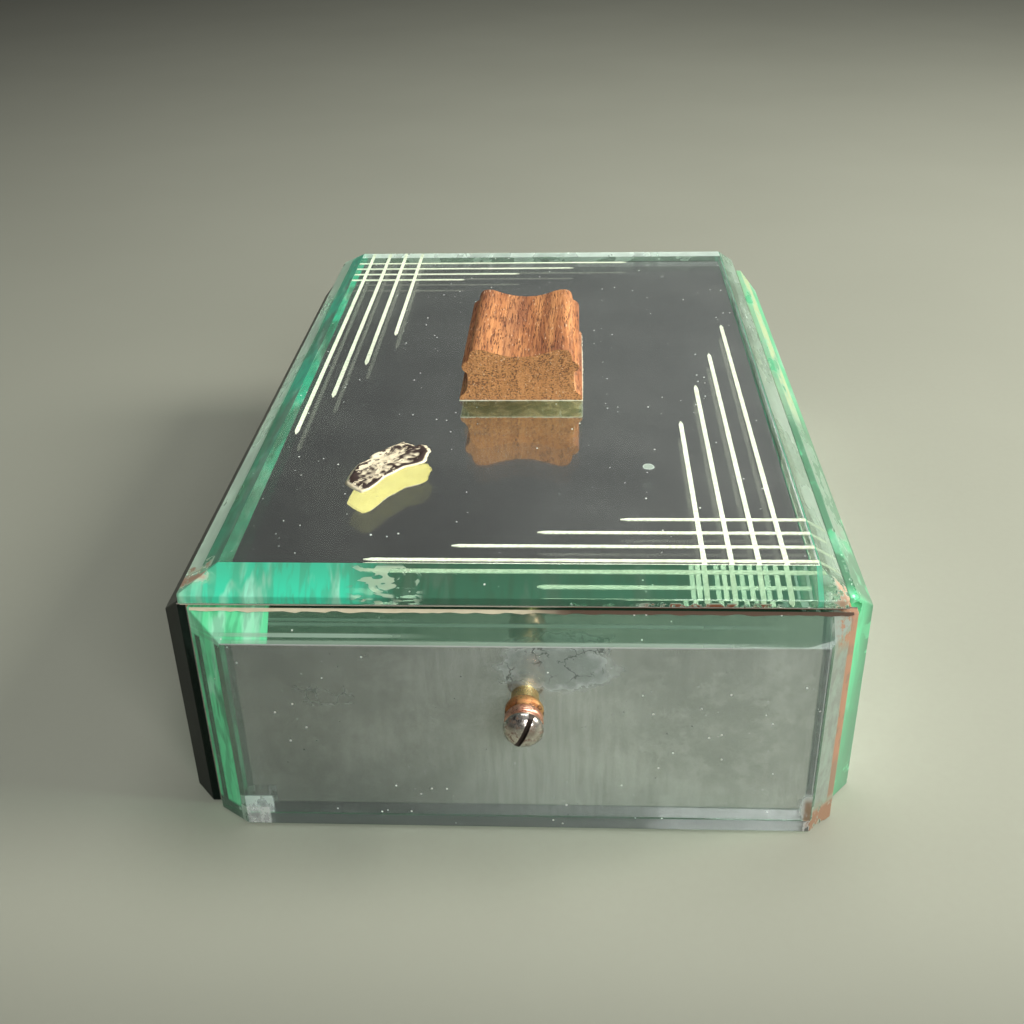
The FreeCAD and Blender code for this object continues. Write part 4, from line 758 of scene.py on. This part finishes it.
def plate_mesh(node, left_bevel=BEVEL_WIDE, corner=0.0):
    """A plate with a wide bevel ground round its face and a thin lip left behind it.

    A wall plate's foot is square."""
    matrix, half_wide, half_high, thick = plate_matrix(node)
    foot_bevel = BEVEL_WIDE if node == "lid_glass" else 0.0

    def build(form):
        back = loop_of(form, rectangle(-half_wide, half_wide, -half_high, half_high, 0.0))
        lip = loop_of(form, rectangle(-half_wide, half_wide, -half_high, half_high, thick - BEVEL_DROP))
        face = loop_of(form, rectangle(
            -half_wide + left_bevel, half_wide - BEVEL_WIDE,
            -half_high + foot_bevel, half_high - BEVEL_WIDE, thick,
        ))
        form.faces.new(back)
        form.faces.new(face)
        bridge(form, back, lip)
        bridge(form, lip, face)
        if corner:
            uprights = [
                edge for edge in form.edges
                if abs(edge.verts[0].co.z - edge.verts[1].co.z) > MM
                and (edge.verts[0].co - edge.verts[1].co).xy.length < UPRIGHT_SLACK
            ]
            bmesh.ops.bevel(
                form, geom=uprights, offset=corner * MM, segments=3, affect="EDGES", profile=0.5,
            )
        bmesh.ops.transform(form, matrix=matrix, verts=form.verts)

    mesh = mesh_from(build, node)
    return modified(mesh, eased(ARRIS, ARRIS_ANGLE))


def chip_cutters(seed, line, count, size):
    """Rough pebbles strung along a line, to bite chips out of an edge."""
    chance = random.Random(seed)
    start, end = (Vector(point) for point in line)

    def build(form):
        for _ in range(count):
            middle = start.lerp(end, chance.random())
            radius = size * chance.uniform(0.35, 1.0)
            made = bmesh.ops.create_icosphere(form, subdivisions=2, radius=radius * MM)
            squash = Vector((chance.uniform(0.6, 1.6), chance.uniform(0.6, 1.6), chance.uniform(0.5, 1.2)))
            for vertex in made["verts"]:
                bump = 1 + 0.25 * noise.noise(vertex.co / MM + middle)
                vertex.co = Vector(vertex.co[i] * squash[i] for i in range(3)) * bump + middle * MM

    return mesh_from(build, "chips")


def eased(wide, angle):
    """Settings of a modifier that eases every edge sharper than angle."""
    return "BEVEL", {"width": wide * MM, "segments": 2, "limit_method": "ANGLE", "angle_limit": angle}


def bitten(mesh, *cutters):
    """The mesh with the cutters' solids taken away."""
    for number, cutter in enumerate(cutters):
        tool = bpy.data.objects.new(f"cutter_{number}", cutter)
        bpy.context.scene.collection.objects.link(tool)
        settings = {"object": tool, "operation": "DIFFERENCE", "solver": "EXACT", "use_self": True}
        mesh = modified(mesh, ("BOOLEAN", settings))
        bpy.data.objects.remove(tool)
    return mesh


def make_plates():
    lid_low, lid_high = (Vector(corner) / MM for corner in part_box("lid_glass"))
    front_low, front_high = (Vector(corner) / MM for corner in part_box("front_glass"))
    right_low, right_high = (Vector(corner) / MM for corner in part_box("right_glass"))
    lip = lid_low.z + 0.4
    lid = bitten(
        plate_mesh("lid_glass", LID_LEFT_BEVEL, LID_CORNER),
        chip_cutters(3, ((10, lid_low.y, lid_low.z), (lid_high.x, lid_low.y, lid_low.z)), 26, 0.7),
        chip_cutters(4, ((lid_low.x, lid_low.y, lip), (lid_low.x, -60, lip)), 9, 0.6),
        chip_cutters(5, ((lid_high.x, lid_low.y, lip), (lid_high.x, lid_high.y, lip)), 22, 0.6),
        chip_cutters(6, ((lid_low.x, lid_high.y, lip), (lid_high.x, lid_high.y, lip)), 14, 0.6),
    )
    front = bitten(
        plate_mesh("front_glass", FRONT_LEFT_BEVEL),
        chip_cutters(7, ((front_high.x, front_high.y, 1), (front_high.x, front_high.y, 40)), 16, 0.8),
        chip_cutters(
            8, ((front_high.x - 5, front_low.y, front_low.z), (front_high.x, -104, front_low.z)), 7,
            1.1,
        ),
        chip_cutters(
            9, ((front_low.x, -104.3, front_high.z), (front_low.x + 50, -104.3, front_high.z)), 14, 0.5,
        ),
    )
    left = plate_mesh("left_glass")
    right = bitten(
        plate_mesh("right_glass"),
        chip_cutters(11, ((68.4, right_low.y, 50), (68.4, right_low.y, right_high.z)), 9, 1.5),
        chip_cutters(12, ((68.4, right_low.y, right_high.z), (68.4, -70, right_high.z)), 16, 0.9),
    )
    back = plate_mesh("back_glass")
    looks = {
        "lid_glass": (lid, "lid", lid_glow, 0.42, MINT, BEVEL_GREEN, lid_stains),
        "front_glass": (front, "case", front_glow, 0.5, LEAF_MINT, DEEP_GREEN, front_stains),
        # painted shade: the left plate's edges are near-black green and nearly opaque
        "left_glass": (left, "case", even_glow(0.03), 0.95, DEEP_GREEN, SHADE_BLACK_GREEN, None),
        "right_glass": (right, "case", right_glow, 0.6, LEAF_MINT, MOSS_GREEN, right_stains),
        "back_glass": (back, "case", even_glow(0.5), 0.4, MINT, DEEP_GREEN, None),
    }
    for node, (mesh, body, glow, veil, bright, dark, stains) in looks.items():
        outward = PLATE_SIDES[node][2]
        material = glass_finish(f"{node}_old", outward, glow, veil, bright, dark, stains)
        plate = piece(f"{node}_plate", mesh, body, material)
        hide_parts(node)


# ---------------------------------------------------------------- engraved lines

def line_strip(form, start, end, level, chance):
    """A filled groove: a flat bar with rounded, slightly swollen ends and wavering sides."""
    start = Vector((*start, level))
    end = Vector((*end, level))
    along = (end - start).normalized()
    side = Vector((-along.y, along.x, 0))
    length = (end - start).length
    steps = max(8, int(length / 1.6))
    half = LINE_WIDE / 2
    left, right = [], []
    for number in range(steps + 1):
        distance = length * number / steps
        near_end = min(distance, length - distance)
        wide = half * min(1.0, math.sqrt(max(0.05, near_end / half)))
        if half < near_end < 3 * half:
            wide *= 1.18
        wide *= 1 + chance.uniform(-0.06, 0.06)
        middle = start + along * distance
        left.append(middle + side * wide)
        right.append(middle - side * wide)
    outline = left + right[::-1]
    low = loop_of(form, outline)
    high = loop_of(form, [point + Vector((0, 0, LINE_DEEP)) for point in outline])
    form.faces.new(low)
    form.faces.new(high)
    bridge(form, low, high)


def make_engraving():
    lid_low, lid_high = (Vector(corner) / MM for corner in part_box("lid_glass"))
    level = lid_low.z
    chance = random.Random(21)

    def build(form):
        for sign, corner in ((1, Vector((lid_high.x, lid_low.y))), (-1, Vector((lid_low.x, lid_high.y)))):
            for number in range(LINE_COUNT):
                gap = LINE_MARGIN + number * LINE_PITCH
                short = SHORT_LINE - number * SHORT_LINE_STEP
                long = LONG_LINE - number * LONG_LINE_STEP
                inset = 0.4
                line_strip(
                    form, (corner.x - sign * inset, corner.y + sign * gap),
                    (corner.x - sign * short, corner.y + sign * gap), level, chance,
                )
                line_strip(
                    form, (corner.x - sign * gap, corner.y + sign * inset),
                    (corner.x - sign * gap, corner.y + sign * long), level + CROSSING_STEP, chance,
                )

    piece("engraved_lines", mesh_from(build, "engraved_lines"), "lid", engraving_finish())


# ---------------------------------------------------------------- glue residue

# the rim of the scab, going round, in the row frame
RESIDUE_RIM = (
    (-39.1, -65.7), (-39.0, -61.4), (-37.8, -56.5), (-35.6, -54.0), (-35.5, -52.2), (-32.6, -48.9),
    (-29.1, -45.0),
    (-28.1, -45.2), (-25.2, -47.0), (-23.6, -46.4), (-21.7, -48.8), (-22.1, -51.9), (-22.6, -55.5),
    (-26.5, -57.8),
    (-28.7, -60.4), (-30.9, -63.1), (-32.4, -66.6), (-34.7, -69.9), (-36.8, -68.5),
)
RESIDUE_LEAN = 55.0
RESIDUE_HIGH = 0.75


def spread_rim(points, steps):
    """The rim as a smooth closed curve through the points, with steps to each span."""
    count = len(points)
    spread = []
    for number in range(count):
        before, here, after, last = (Vector(points[(number + shift) % count]) for shift in (-1, 0, 1, 2))
        for step in range(steps):
            share = step / steps
            spread.append(
                0.5 * (2 * here + (after - before) * share
                       + (2 * before - 5 * here + 4 * after - last) * share ** 2
                       + (3 * here - before - 3 * after + last) * share ** 3)
            )
    return spread


def make_residue():
    """A torn scab of old glue, thicker at its rim."""
    _, lid_high = (Vector(corner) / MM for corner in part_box("lid_glass"))
    rim = spread_rim(RESIDUE_RIM, 5)
    middle = sum(rim, Vector((0, 0))) / len(rim)
    rings = 16

    def point(ring, spoke, lift):
        edge = rim[spoke]
        ragged = 1 + 0.035 * noise.noise(Vector((edge.x * 2, edge.y * 2, 0)))
        flat = middle.lerp(edge, ring / rings * ragged)
        rough = noise.noise(Vector((flat.x * 0.8, flat.y * 0.8, 3.0)))
        swell = math.exp(-((ring / rings - 0.84) / 0.13) ** 2)
        height = lift * RESIDUE_HIGH * (0.45 + 0.4 * rough + 0.35 * swell) * min(1.0, (rings - ring) / 2)
        return flat.x, flat.y, lid_high.z + 0.02 + max(0.0, height)

    def build(form):
        edge = None
        for lift in (1.0, 0.0):
            heart = form.verts.new(Vector(point(0, 0, lift)) * MM)
            last = None
            for ring in range(1, rings + 1):
                if ring == rings and edge:
                    loop = edge
                else:
                    loop = loop_of(form, [point(ring, spoke, lift) for spoke in range(len(rim))])
                if last is None:
                    for number in range(len(loop)):
                        form.faces.new((heart, loop[number], loop[(number + 1) % len(loop)]))
                else:
                    bridge(form, last, loop)
                last = loop
            edge = last

    piece("glue_residue", mesh_from(build, "glue_residue", smooth=True), "lid", residue_finish())


# ---------------------------------------------------------------- tape on the front

def make_tape():
    """A torn strip of paper tape folded over the top of the front plate's bevel."""
    low, high = (Vector(corner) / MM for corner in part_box("front_glass"))
    chance = random.Random(31)
    lip = low.y + BEVEL_DROP
    slope = Vector((0, -BEVEL_DROP, -BEVEL_WIDE)).normalized()
    lift = Vector((0, -BEVEL_WIDE, BEVEL_DROP)).normalized() * 0.05
    steps = 110

    def build(form):
        rows = [[], [], [], []]
        for number in range(steps + 1):
            x = low.x + 0.6 + (high.x - low.x - 1.6) * number / steps
            crest = Vector((x, lip, high.z))
            reach = 0.75 + 0.35 * noise.noise(Vector((x * 0.35, 0, 0))) + chance.uniform(-0.08, 0.08)
            rows[0].append(crest + lift * 0.2)
            rows[1].append(crest + lift * 2)
            rows[2].append(crest + slope * reach + lift * 2)
            rows[3].append(crest + slope * reach + lift * 0.2)
        strips = [loop_of(form, row) for row in rows]
        for first, second in zip(strips, strips[1:] + strips[:1]):
            for number in range(steps):
                form.faces.new((first[number], first[number + 1], second[number + 1], second[number]))
        form.faces.new([strip[0] for strip in strips])
        form.faces.new([strip[-1] for strip in strips])

    piece("paper_tape", mesh_from(build, "paper_tape"), "case", tape_finish())


# ---------------------------------------------------------------- carved block

BLOCK_MIDDLE = -1.6
BLOCK_FRONT = -21.2
BLOCK_BACK = 23.0
BLOCK_EASE = 0.18
BLOCK_UNEVEN = 0.13
BLOCK_TORN = 0.45
BLOCK_GAP = 0.06
# half width against height: foot, cove, waist, bead, shoulder, rounded crest and saddle
BLOCK_PROFILE = (
    (15.6, 0.06), (15.6, 0.9), (15.3, 1.35), (14.4, 2.1), (13.8, 3.0), (13.5, 4.2), (13.4, 6.9),
    (13.55, 7.7),
    (14.2, 8.1), (14.7, 8.7), (14.8, 9.4), (14.5, 10.1), (13.8, 10.6), (13.1, 10.95), (12.95, 12.0),
    (12.6, 13.0), (11.9, 13.7), (10.8, 13.95), (9.4, 13.9), (7.6, 13.4), (5.6, 12.75), (3.0, 12.15),
    (0.0, 11.9),
)


def make_block():
    """The handle block: one moulded section run along Y, with hand-cut unevenness."""
    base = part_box("handle_block")[0][2] / MM
    sections = 60
    right = list(BLOCK_PROFILE)
    section = right + [(-wide, high) for wide, high in right[-2::-1]]

    def build(form):
        loops = []
        for number in range(sections + 1):
            along = BLOCK_FRONT + (BLOCK_BACK - BLOCK_FRONT) * number / sections
            points = []
            for wide, high in section:
                here = Vector((wide * 0.35, along * 0.22, high * 0.6))
                uneven = BLOCK_UNEVEN * noise.noise(here)
                torn = 0.0
                if number == 0:
                    rough = noise.noise(Vector((wide * 1.1, 0, high * 1.1)))
                    torn = BLOCK_TORN * max(0.0, rough)
                x = BLOCK_MIDDLE + wide * (1 - 0.004 * abs(uneven) * 10)
                z = base + max(BLOCK_GAP, high - 0.1 + uneven * (high > 1.0))
                points.append((x, along + torn, z))
            loops.append(loop_of(form, points))
        for first, second in zip(loops, loops[1:]):
            bridge(form, first, second)
        form.faces.new(loops[0])
        form.faces.new(loops[-1])

    mesh = modified(mesh_from(build, "carved_block"), eased(BLOCK_EASE, math.radians(50)))
    for face in mesh.polygons:
        face.use_smooth = abs(face.normal.y) < 0.5
    block = piece("carved_block", mesh, "lid", mahogany())
    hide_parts("handle_block")
    make_glue_line(base)


def make_glue_line(base):
    """A thin uneven bead of glue squeezed out round the foot of the block."""
    chance = random.Random(5)
    outer = BLOCK_PROFILE[0][0]
    corners = [
        (BLOCK_MIDDLE - outer, BLOCK_FRONT), (BLOCK_MIDDLE + outer, BLOCK_FRONT),
        (BLOCK_MIDDLE + outer, BLOCK_BACK), (BLOCK_MIDDLE - outer, BLOCK_BACK),
    ]
    path = []
    for number, corner in enumerate(corners):
        start = Vector(corner)
        end = Vector(corners[(number + 1) % len(corners)])
        steps = int((end - start).length / 0.7)
        path += [start.lerp(end, step / steps) for step in range(steps)]
    centre = Vector((BLOCK_MIDDLE, (BLOCK_FRONT + BLOCK_BACK) / 2))
    outer_loop, inner_loop, crest_loop = [], [], []
    for point in path:
        away = (point - centre).normalized()
        swell = chance.uniform(0.0, 0.28)
        outer_loop.append((*(point + away * (0.08 + swell)), base + 0.01))
        crest_loop.append((*(point + away * (0.02 + swell / 3)), base + 0.12 + swell / 2))
        inner_loop.append((*(point - away * 0.6), base + 0.01))

    def build(form):
        loops = [loop_of(form, points) for points in (outer_loop, crest_loop, inner_loop)]
        bridge(form, loops[0], loops[1])
        bridge(form, loops[1], loops[2])
        bridge(form, loops[2], loops[0])

    finish = Finish("old_glue")
    grain = finish.noise(0.8, detail=4.0)
    finish.set(
        Base_Color=finish.mix(grain, (0.42, 0.42, 0.30), (0.78, 0.76, 0.62)),
        Roughness=0.4,
    )
    piece(
        "block_glue_line", mesh_from(build, "block_glue_line", smooth=True), "lid", finish.material,
    )
    make_glue_bed(base)


def make_glue_bed(base):
    """The film of yellowed glue between the block and the glass, seen from beneath through the glass."""
    half = BLOCK_PROFILE[0][0] - 0.2

    def build(form):
        loops = []
        for level in (base + 0.005, base + 0.05):
            left, right = BLOCK_MIDDLE - half, BLOCK_MIDDLE + half
            loops.append(loop_of(form, rectangle(left, right, BLOCK_FRONT + 0.2, BLOCK_BACK - 0.2, level)))
        bridge(form, loops[0], loops[1])
        form.faces.new(loops[0])
        form.faces.new(loops[1])

    finish = Finish("glue_bed")
    clouds = finish.noise(4.0, detail=4.0, twist=0.8)
    drips = finish.noise(1.2, stretch=(1, 5, 1), shift=3.0, detail=3.0)
    shade = finish.mix(finish.remap(clouds, 0.4, 0.62), (0.24, 0.25, 0.10), (0.60, 0.50, 0.25))
    shade = finish.mix(finish.remap(drips, 0.6, 0.7, 0.0, 0.8), shade, (0.70, 0.68, 0.48))
    finish.set(Base_Color=shade, Roughness=0.5)
    piece("block_glue_bed", mesh_from(build, "block_glue_bed"), "lid", finish.material)


# ---------------------------------------------------------------- winding knob

COLLAR_RADIUS = 3.95
NECK_RADIUS = 3.2
BORE_RADIUS = 1.6
COLLAR_LONG = 3.0
HEAD_RADIUS = 4.1
HEAD_LONG = 3.0
SHANK_RADIUS = 1.4
SHANK_LONG = 4.0
SLOT_WIDE = 1.05
SLOT_DEEP = 1.5
SLOT_EASE = 0.1
SLOT_TURN = math.radians(24)


def turned(name, profile, smooth=True):
    """A ring turned round the winding arbor from a closed profile of (radius, distance along Y)."""
    spokes = 64

    def build(form):
        loops = []
        for radius, along in profile:
            points = []
            for number in range(spokes):
                angle = 2 * math.pi * number / spokes
                x = ARBOR_X + radius * math.cos(angle)
                z = ARBOR_Z + radius * math.sin(angle)
                points.append((x, along, z))
            loops.append(loop_of(form, points))
        for number in range(len(loops)):
            bridge(form, loops[number], loops[(number + 1) % len(loops)])

    return mesh_from(build, name, smooth)


def collar_profile(back, front):
    """A rounded rim behind a short neck."""
    middle = back + (front - back) * 0.66
    return (
        (BORE_RADIUS, back), (3.5, back), (3.75, back - 0.12), (COLLAR_RADIUS, back - 0.5),
        (COLLAR_RADIUS, middle + 0.35), (3.75, middle + 0.1), (3.5, middle),
        (NECK_RADIUS + 0.1, middle - 0.05),
        (NECK_RADIUS, middle - 0.2), (NECK_RADIUS, front), (BORE_RADIUS, front),
    )


def make_knob():
    rear_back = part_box("rear_collar")[1][1] / MM
    front_back = rear_back - COLLAR_LONG
    head_back = front_back - COLLAR_LONG
    looks = {
        "rear_collar": (rear_back, metal_finish(
            "collar_gold_rust", (0.74, 0.46, 0.20), (0.50, 0.22, 0.09), 0.42, stain=(0.10, 0.035, 0.015))),
        "front_collar": (front_back, metal_finish(
            "collar_pink_copper", (0.88, 0.50, 0.36), (0.66, 0.30, 0.19), 0.30, stain=(0.30, 0.09, 0.04))),
    }
    for node, (back, material) in looks.items():
        mesh = turned(f"{node}_turned", collar_profile(back, back - COLLAR_LONG))
        collar = piece(f"{node}_turned", mesh, "winder", material)
        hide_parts(node)

    dome = [
        (0.02, head_back + SHANK_LONG), (SHANK_RADIUS, head_back + SHANK_LONG), (SHANK_RADIUS, head_back),
        (HEAD_RADIUS - 0.15, head_back),
    ]
    for number in range(11):
        angle = math.pi / 2 * number / 10
        radius = max(0.02, HEAD_RADIUS * math.cos(angle))
        dome.append((radius, head_back - 0.35 - (HEAD_LONG - 0.35) * math.sin(angle)))
    head = turned("screw_head", dome, smooth=False)

    def slot_box(form):
        made = bmesh.ops.create_cube(form, size=MM)
        bmesh.ops.scale(form, vec=(SLOT_WIDE, 2 * SLOT_DEEP, 3 * HEAD_RADIUS), verts=made["verts"])
        turn = Matrix.Rotation(SLOT_TURN, 4, "Y")
        shift = Matrix.Translation(Vector((ARBOR_X, head_back - HEAD_LONG, ARBOR_Z)) * MM)
        bmesh.ops.transform(form, matrix=shift @ turn, verts=made["verts"])

    head = bitten(head, mesh_from(slot_box, "slot"))
    head = modified(head, eased(SLOT_EASE, math.radians(45)))
    for face in head.polygons:
        face.use_smooth = True
    head.set_sharp_from_angle(angle=math.radians(35))
    across = Vector((math.cos(SLOT_TURN), 0, -math.sin(SLOT_TURN)))
    axis = Vector((ARBOR_X, 0, ARBOR_Z)) * MM
    nickel = metal_finish(
        "worn_nickel", (0.66, 0.62, 0.56), (0.42, 0.36, 0.30), 0.2, stain=(0.2, 0.14, 0.1),
    )
    screw = piece("slotted_screw", head, "winder", nickel)
    head.materials.append(grime_finish())
    for face in head.polygons:
        aside = abs((face.center - axis).dot(across))
        if aside < SLOT_WIDE / 2 * MM * 1.02 and face.center.y < (head_back - 0.2) * MM:
            face.material_index = 1
    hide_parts("knob_screw")


# ---------------------------------------------------------------- the rest of the nodes

def paint_nodes():
    """Every CAD node that is shown gets the finish of its slot."""
    dull_spot = (((29.2, -52.6, 55.0), (1.6, 1.7, 5.0), (0.27, 0.29, 0.25)),)
    lid_silver = silver_finish("lid_silver_film", (0.86, 0.82, 0.82), (0.72, 0.69, 0.70), 0.01, dull_spot)
    worn_patch = (((8.5, -102.0, 41.0), (13.5, 9.0, 7.0), (0.18, 0.185, 0.172)),)
    cracked = (((-2.0, 37.5), (19.0, 46.0), 4.6), ((-45.0, 31.5), (-35.0, 34.5), 3.0))
    # the wall film has painted shade that halves its colour at the left end
    wall_silver = silver_finish(
        "wall_silver_film", (0.66, 0.645, 0.64), (0.40, 0.40, 0.39), 0.20, worn_patch, cracked, 0.5,
    )
    finishes = {
        "card": card_finish(),
        "case_wood": case_wood(),
        "block_wood": mahogany(),
        "felt": felt_finish("brown_felt", (0.028, 0.02, 0.014), (0.085, 0.062, 0.042)),
        "brass": metal_finish(
            "clock_brass", (0.78, 0.56, 0.24), (0.55, 0.36, 0.14), 0.28, stretch=(1, 8, 1),
        ),
        "steel": metal_finish(
            "drawn_steel", (0.56, 0.56, 0.56), (0.36, 0.35, 0.34), 0.26, stretch=(1, 8, 1),
        ),
        "bed_iron": iron_finish(),
        "collar_copper": metal_finish("copper_plate", (0.8, 0.45, 0.3), (0.5, 0.22, 0.12), 0.3),
        "screw_nickel": metal_finish("nickel_plate", (0.66, 0.62, 0.56), (0.42, 0.36, 0.30), 0.2),
        "silvering": wall_silver,
        "plate_glass": wall_silver,
    }
    slots = node_slots()
    for node, made in NODES.items():
        finish = finishes[slots[node]]
        if node == "lid_silvering":
            finish = lid_silver
        made.data.materials.clear()
        made.data.materials.append(finish)


def node_slots():
    """Which material slot each CAD node takes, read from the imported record."""
    slots = {}
    for node, made in NODES.items():
        names = [material.name.split(".")[0] for material in made.data.materials if material]
        slots[node] = next((name for name in names if name in SLOTS), "steel")
    return slots


# ---------------------------------------------------------------- stage

def aim(made, target):
    direction = Vector(target) - made.location
    made.rotation_euler = direction.to_track_quat("-Z", "Y").to_euler()


def soft_light(name, place, target, wide, watts, colour=(1, 1, 1)):
    light = bpy.data.lights.new(name, "AREA")
    light.shape = "SQUARE"
    light.size = wide
    light.energy = watts
    light.color = colour
    made = bpy.data.objects.new(name, light)
    made.location = place
    aim(made, target)
    bpy.context.scene.collection.objects.link(made)


def make_floor():
    reach = 4.0

    def build(form):
        corners = [form.verts.new((x * reach, y * reach, 0)) for x, y in ((-1, -1), (1, -1), (1, 1), (-1, 1))]
        form.faces.new(corners)

    floor = piece("studio_floor", mesh_from(build, "studio_floor"), None, floor_finish())


ROOM_SIDES = {"From Min": -0.22, "From Max": 0.30, "To Min": 0.42, "To Max": 1.2}


def make_world():
    """A dim room: grey at the box's height, darkest half way up, bright overhead and to the right."""
    world = bpy.data.worlds.new("studio")
    bpy.context.scene.world = world
    world.use_nodes = True
    tree = world.node_tree
    background = tree.nodes["Background"]
    place = tree.nodes.new("ShaderNodeTexCoord")
    split = tree.nodes.new("ShaderNodeSeparateXYZ")
    ramp = tree.nodes.new("ShaderNodeValToRGB")
    tree.links.new(place.outputs["Generated"], split.inputs["Vector"])
    tree.links.new(split.outputs["Z"], ramp.inputs["Fac"])
    tree.links.new(ramp.outputs["Color"], background.inputs["Color"])
    stops = (
        (0.0, (0.24, 0.25, 0.235)), (0.40, (0.225, 0.225, 0.215)), (0.53, (0.165, 0.163, 0.156)),
        (0.62, (0.060, 0.059, 0.057)), (0.75, (0.055, 0.055, 0.054)), (0.95, (0.35, 0.35, 0.35)),
    )
    for number, (position, colour) in enumerate(stops):
        if number < 2:
            stop = ramp.color_ramp.elements[number]
        else:
            stop = ramp.color_ramp.elements.new(position)
        stop.position = position
        stop.color = (*colour, 1)
    side = tree.nodes.new("ShaderNodeMapRange")
    tree.links.new(split.outputs["X"], side.inputs["Value"])
    for name, value in ROOM_SIDES.items():
        side.inputs[name].default_value = value
    tree.links.new(side.outputs["Result"], background.inputs["Strength"])


CAMERA_PLACE = (11.574, -304.525, 191.013)
CAMERA_PITCH = 29.753
CAMERA_YAW = 3.262
CAMERA_ROLL = -1.412
CAMERA_VIEW = 45.43


def make_camera():
    camera = bpy.data.cameras.new("view")
    camera.angle = math.radians(CAMERA_VIEW)
    camera.clip_start = 0.01
    made = bpy.data.objects.new("view", camera)
    turn = (
        Matrix.Rotation(math.radians(CAMERA_YAW), 4, "Z")
        @ Matrix.Rotation(math.radians(90 - CAMERA_PITCH), 4, "X")
        @ Matrix.Rotation(math.radians(CAMERA_ROLL), 4, "Z")
    )
    made.matrix_world = Matrix.Translation(Vector(CAMERA_PLACE) * MM) @ turn
    bpy.context.scene.collection.objects.link(made)
    bpy.context.scene.camera = made


def make_stage():
    make_floor()
    make_world()
    make_camera()
    soft_light("key", (0.85, 0.0, 0.60), (0, 0, 0.03), 0.42, 12.0, (1.0, 0.97, 0.90))
    soft_light("front", (0.40, -0.95, 0.62), (0, 0, 0.03), 0.55, 9.5)
    soft_light("top", (0.10, 0.35, 1.05), (0, 0, 0), 0.5, 4.0)
    bpy.context.scene.view_settings.view_transform = "Standard"


paint_nodes()
make_plates()
make_engraving()
make_residue()
make_tape()
make_block()
make_knob()
make_stage()
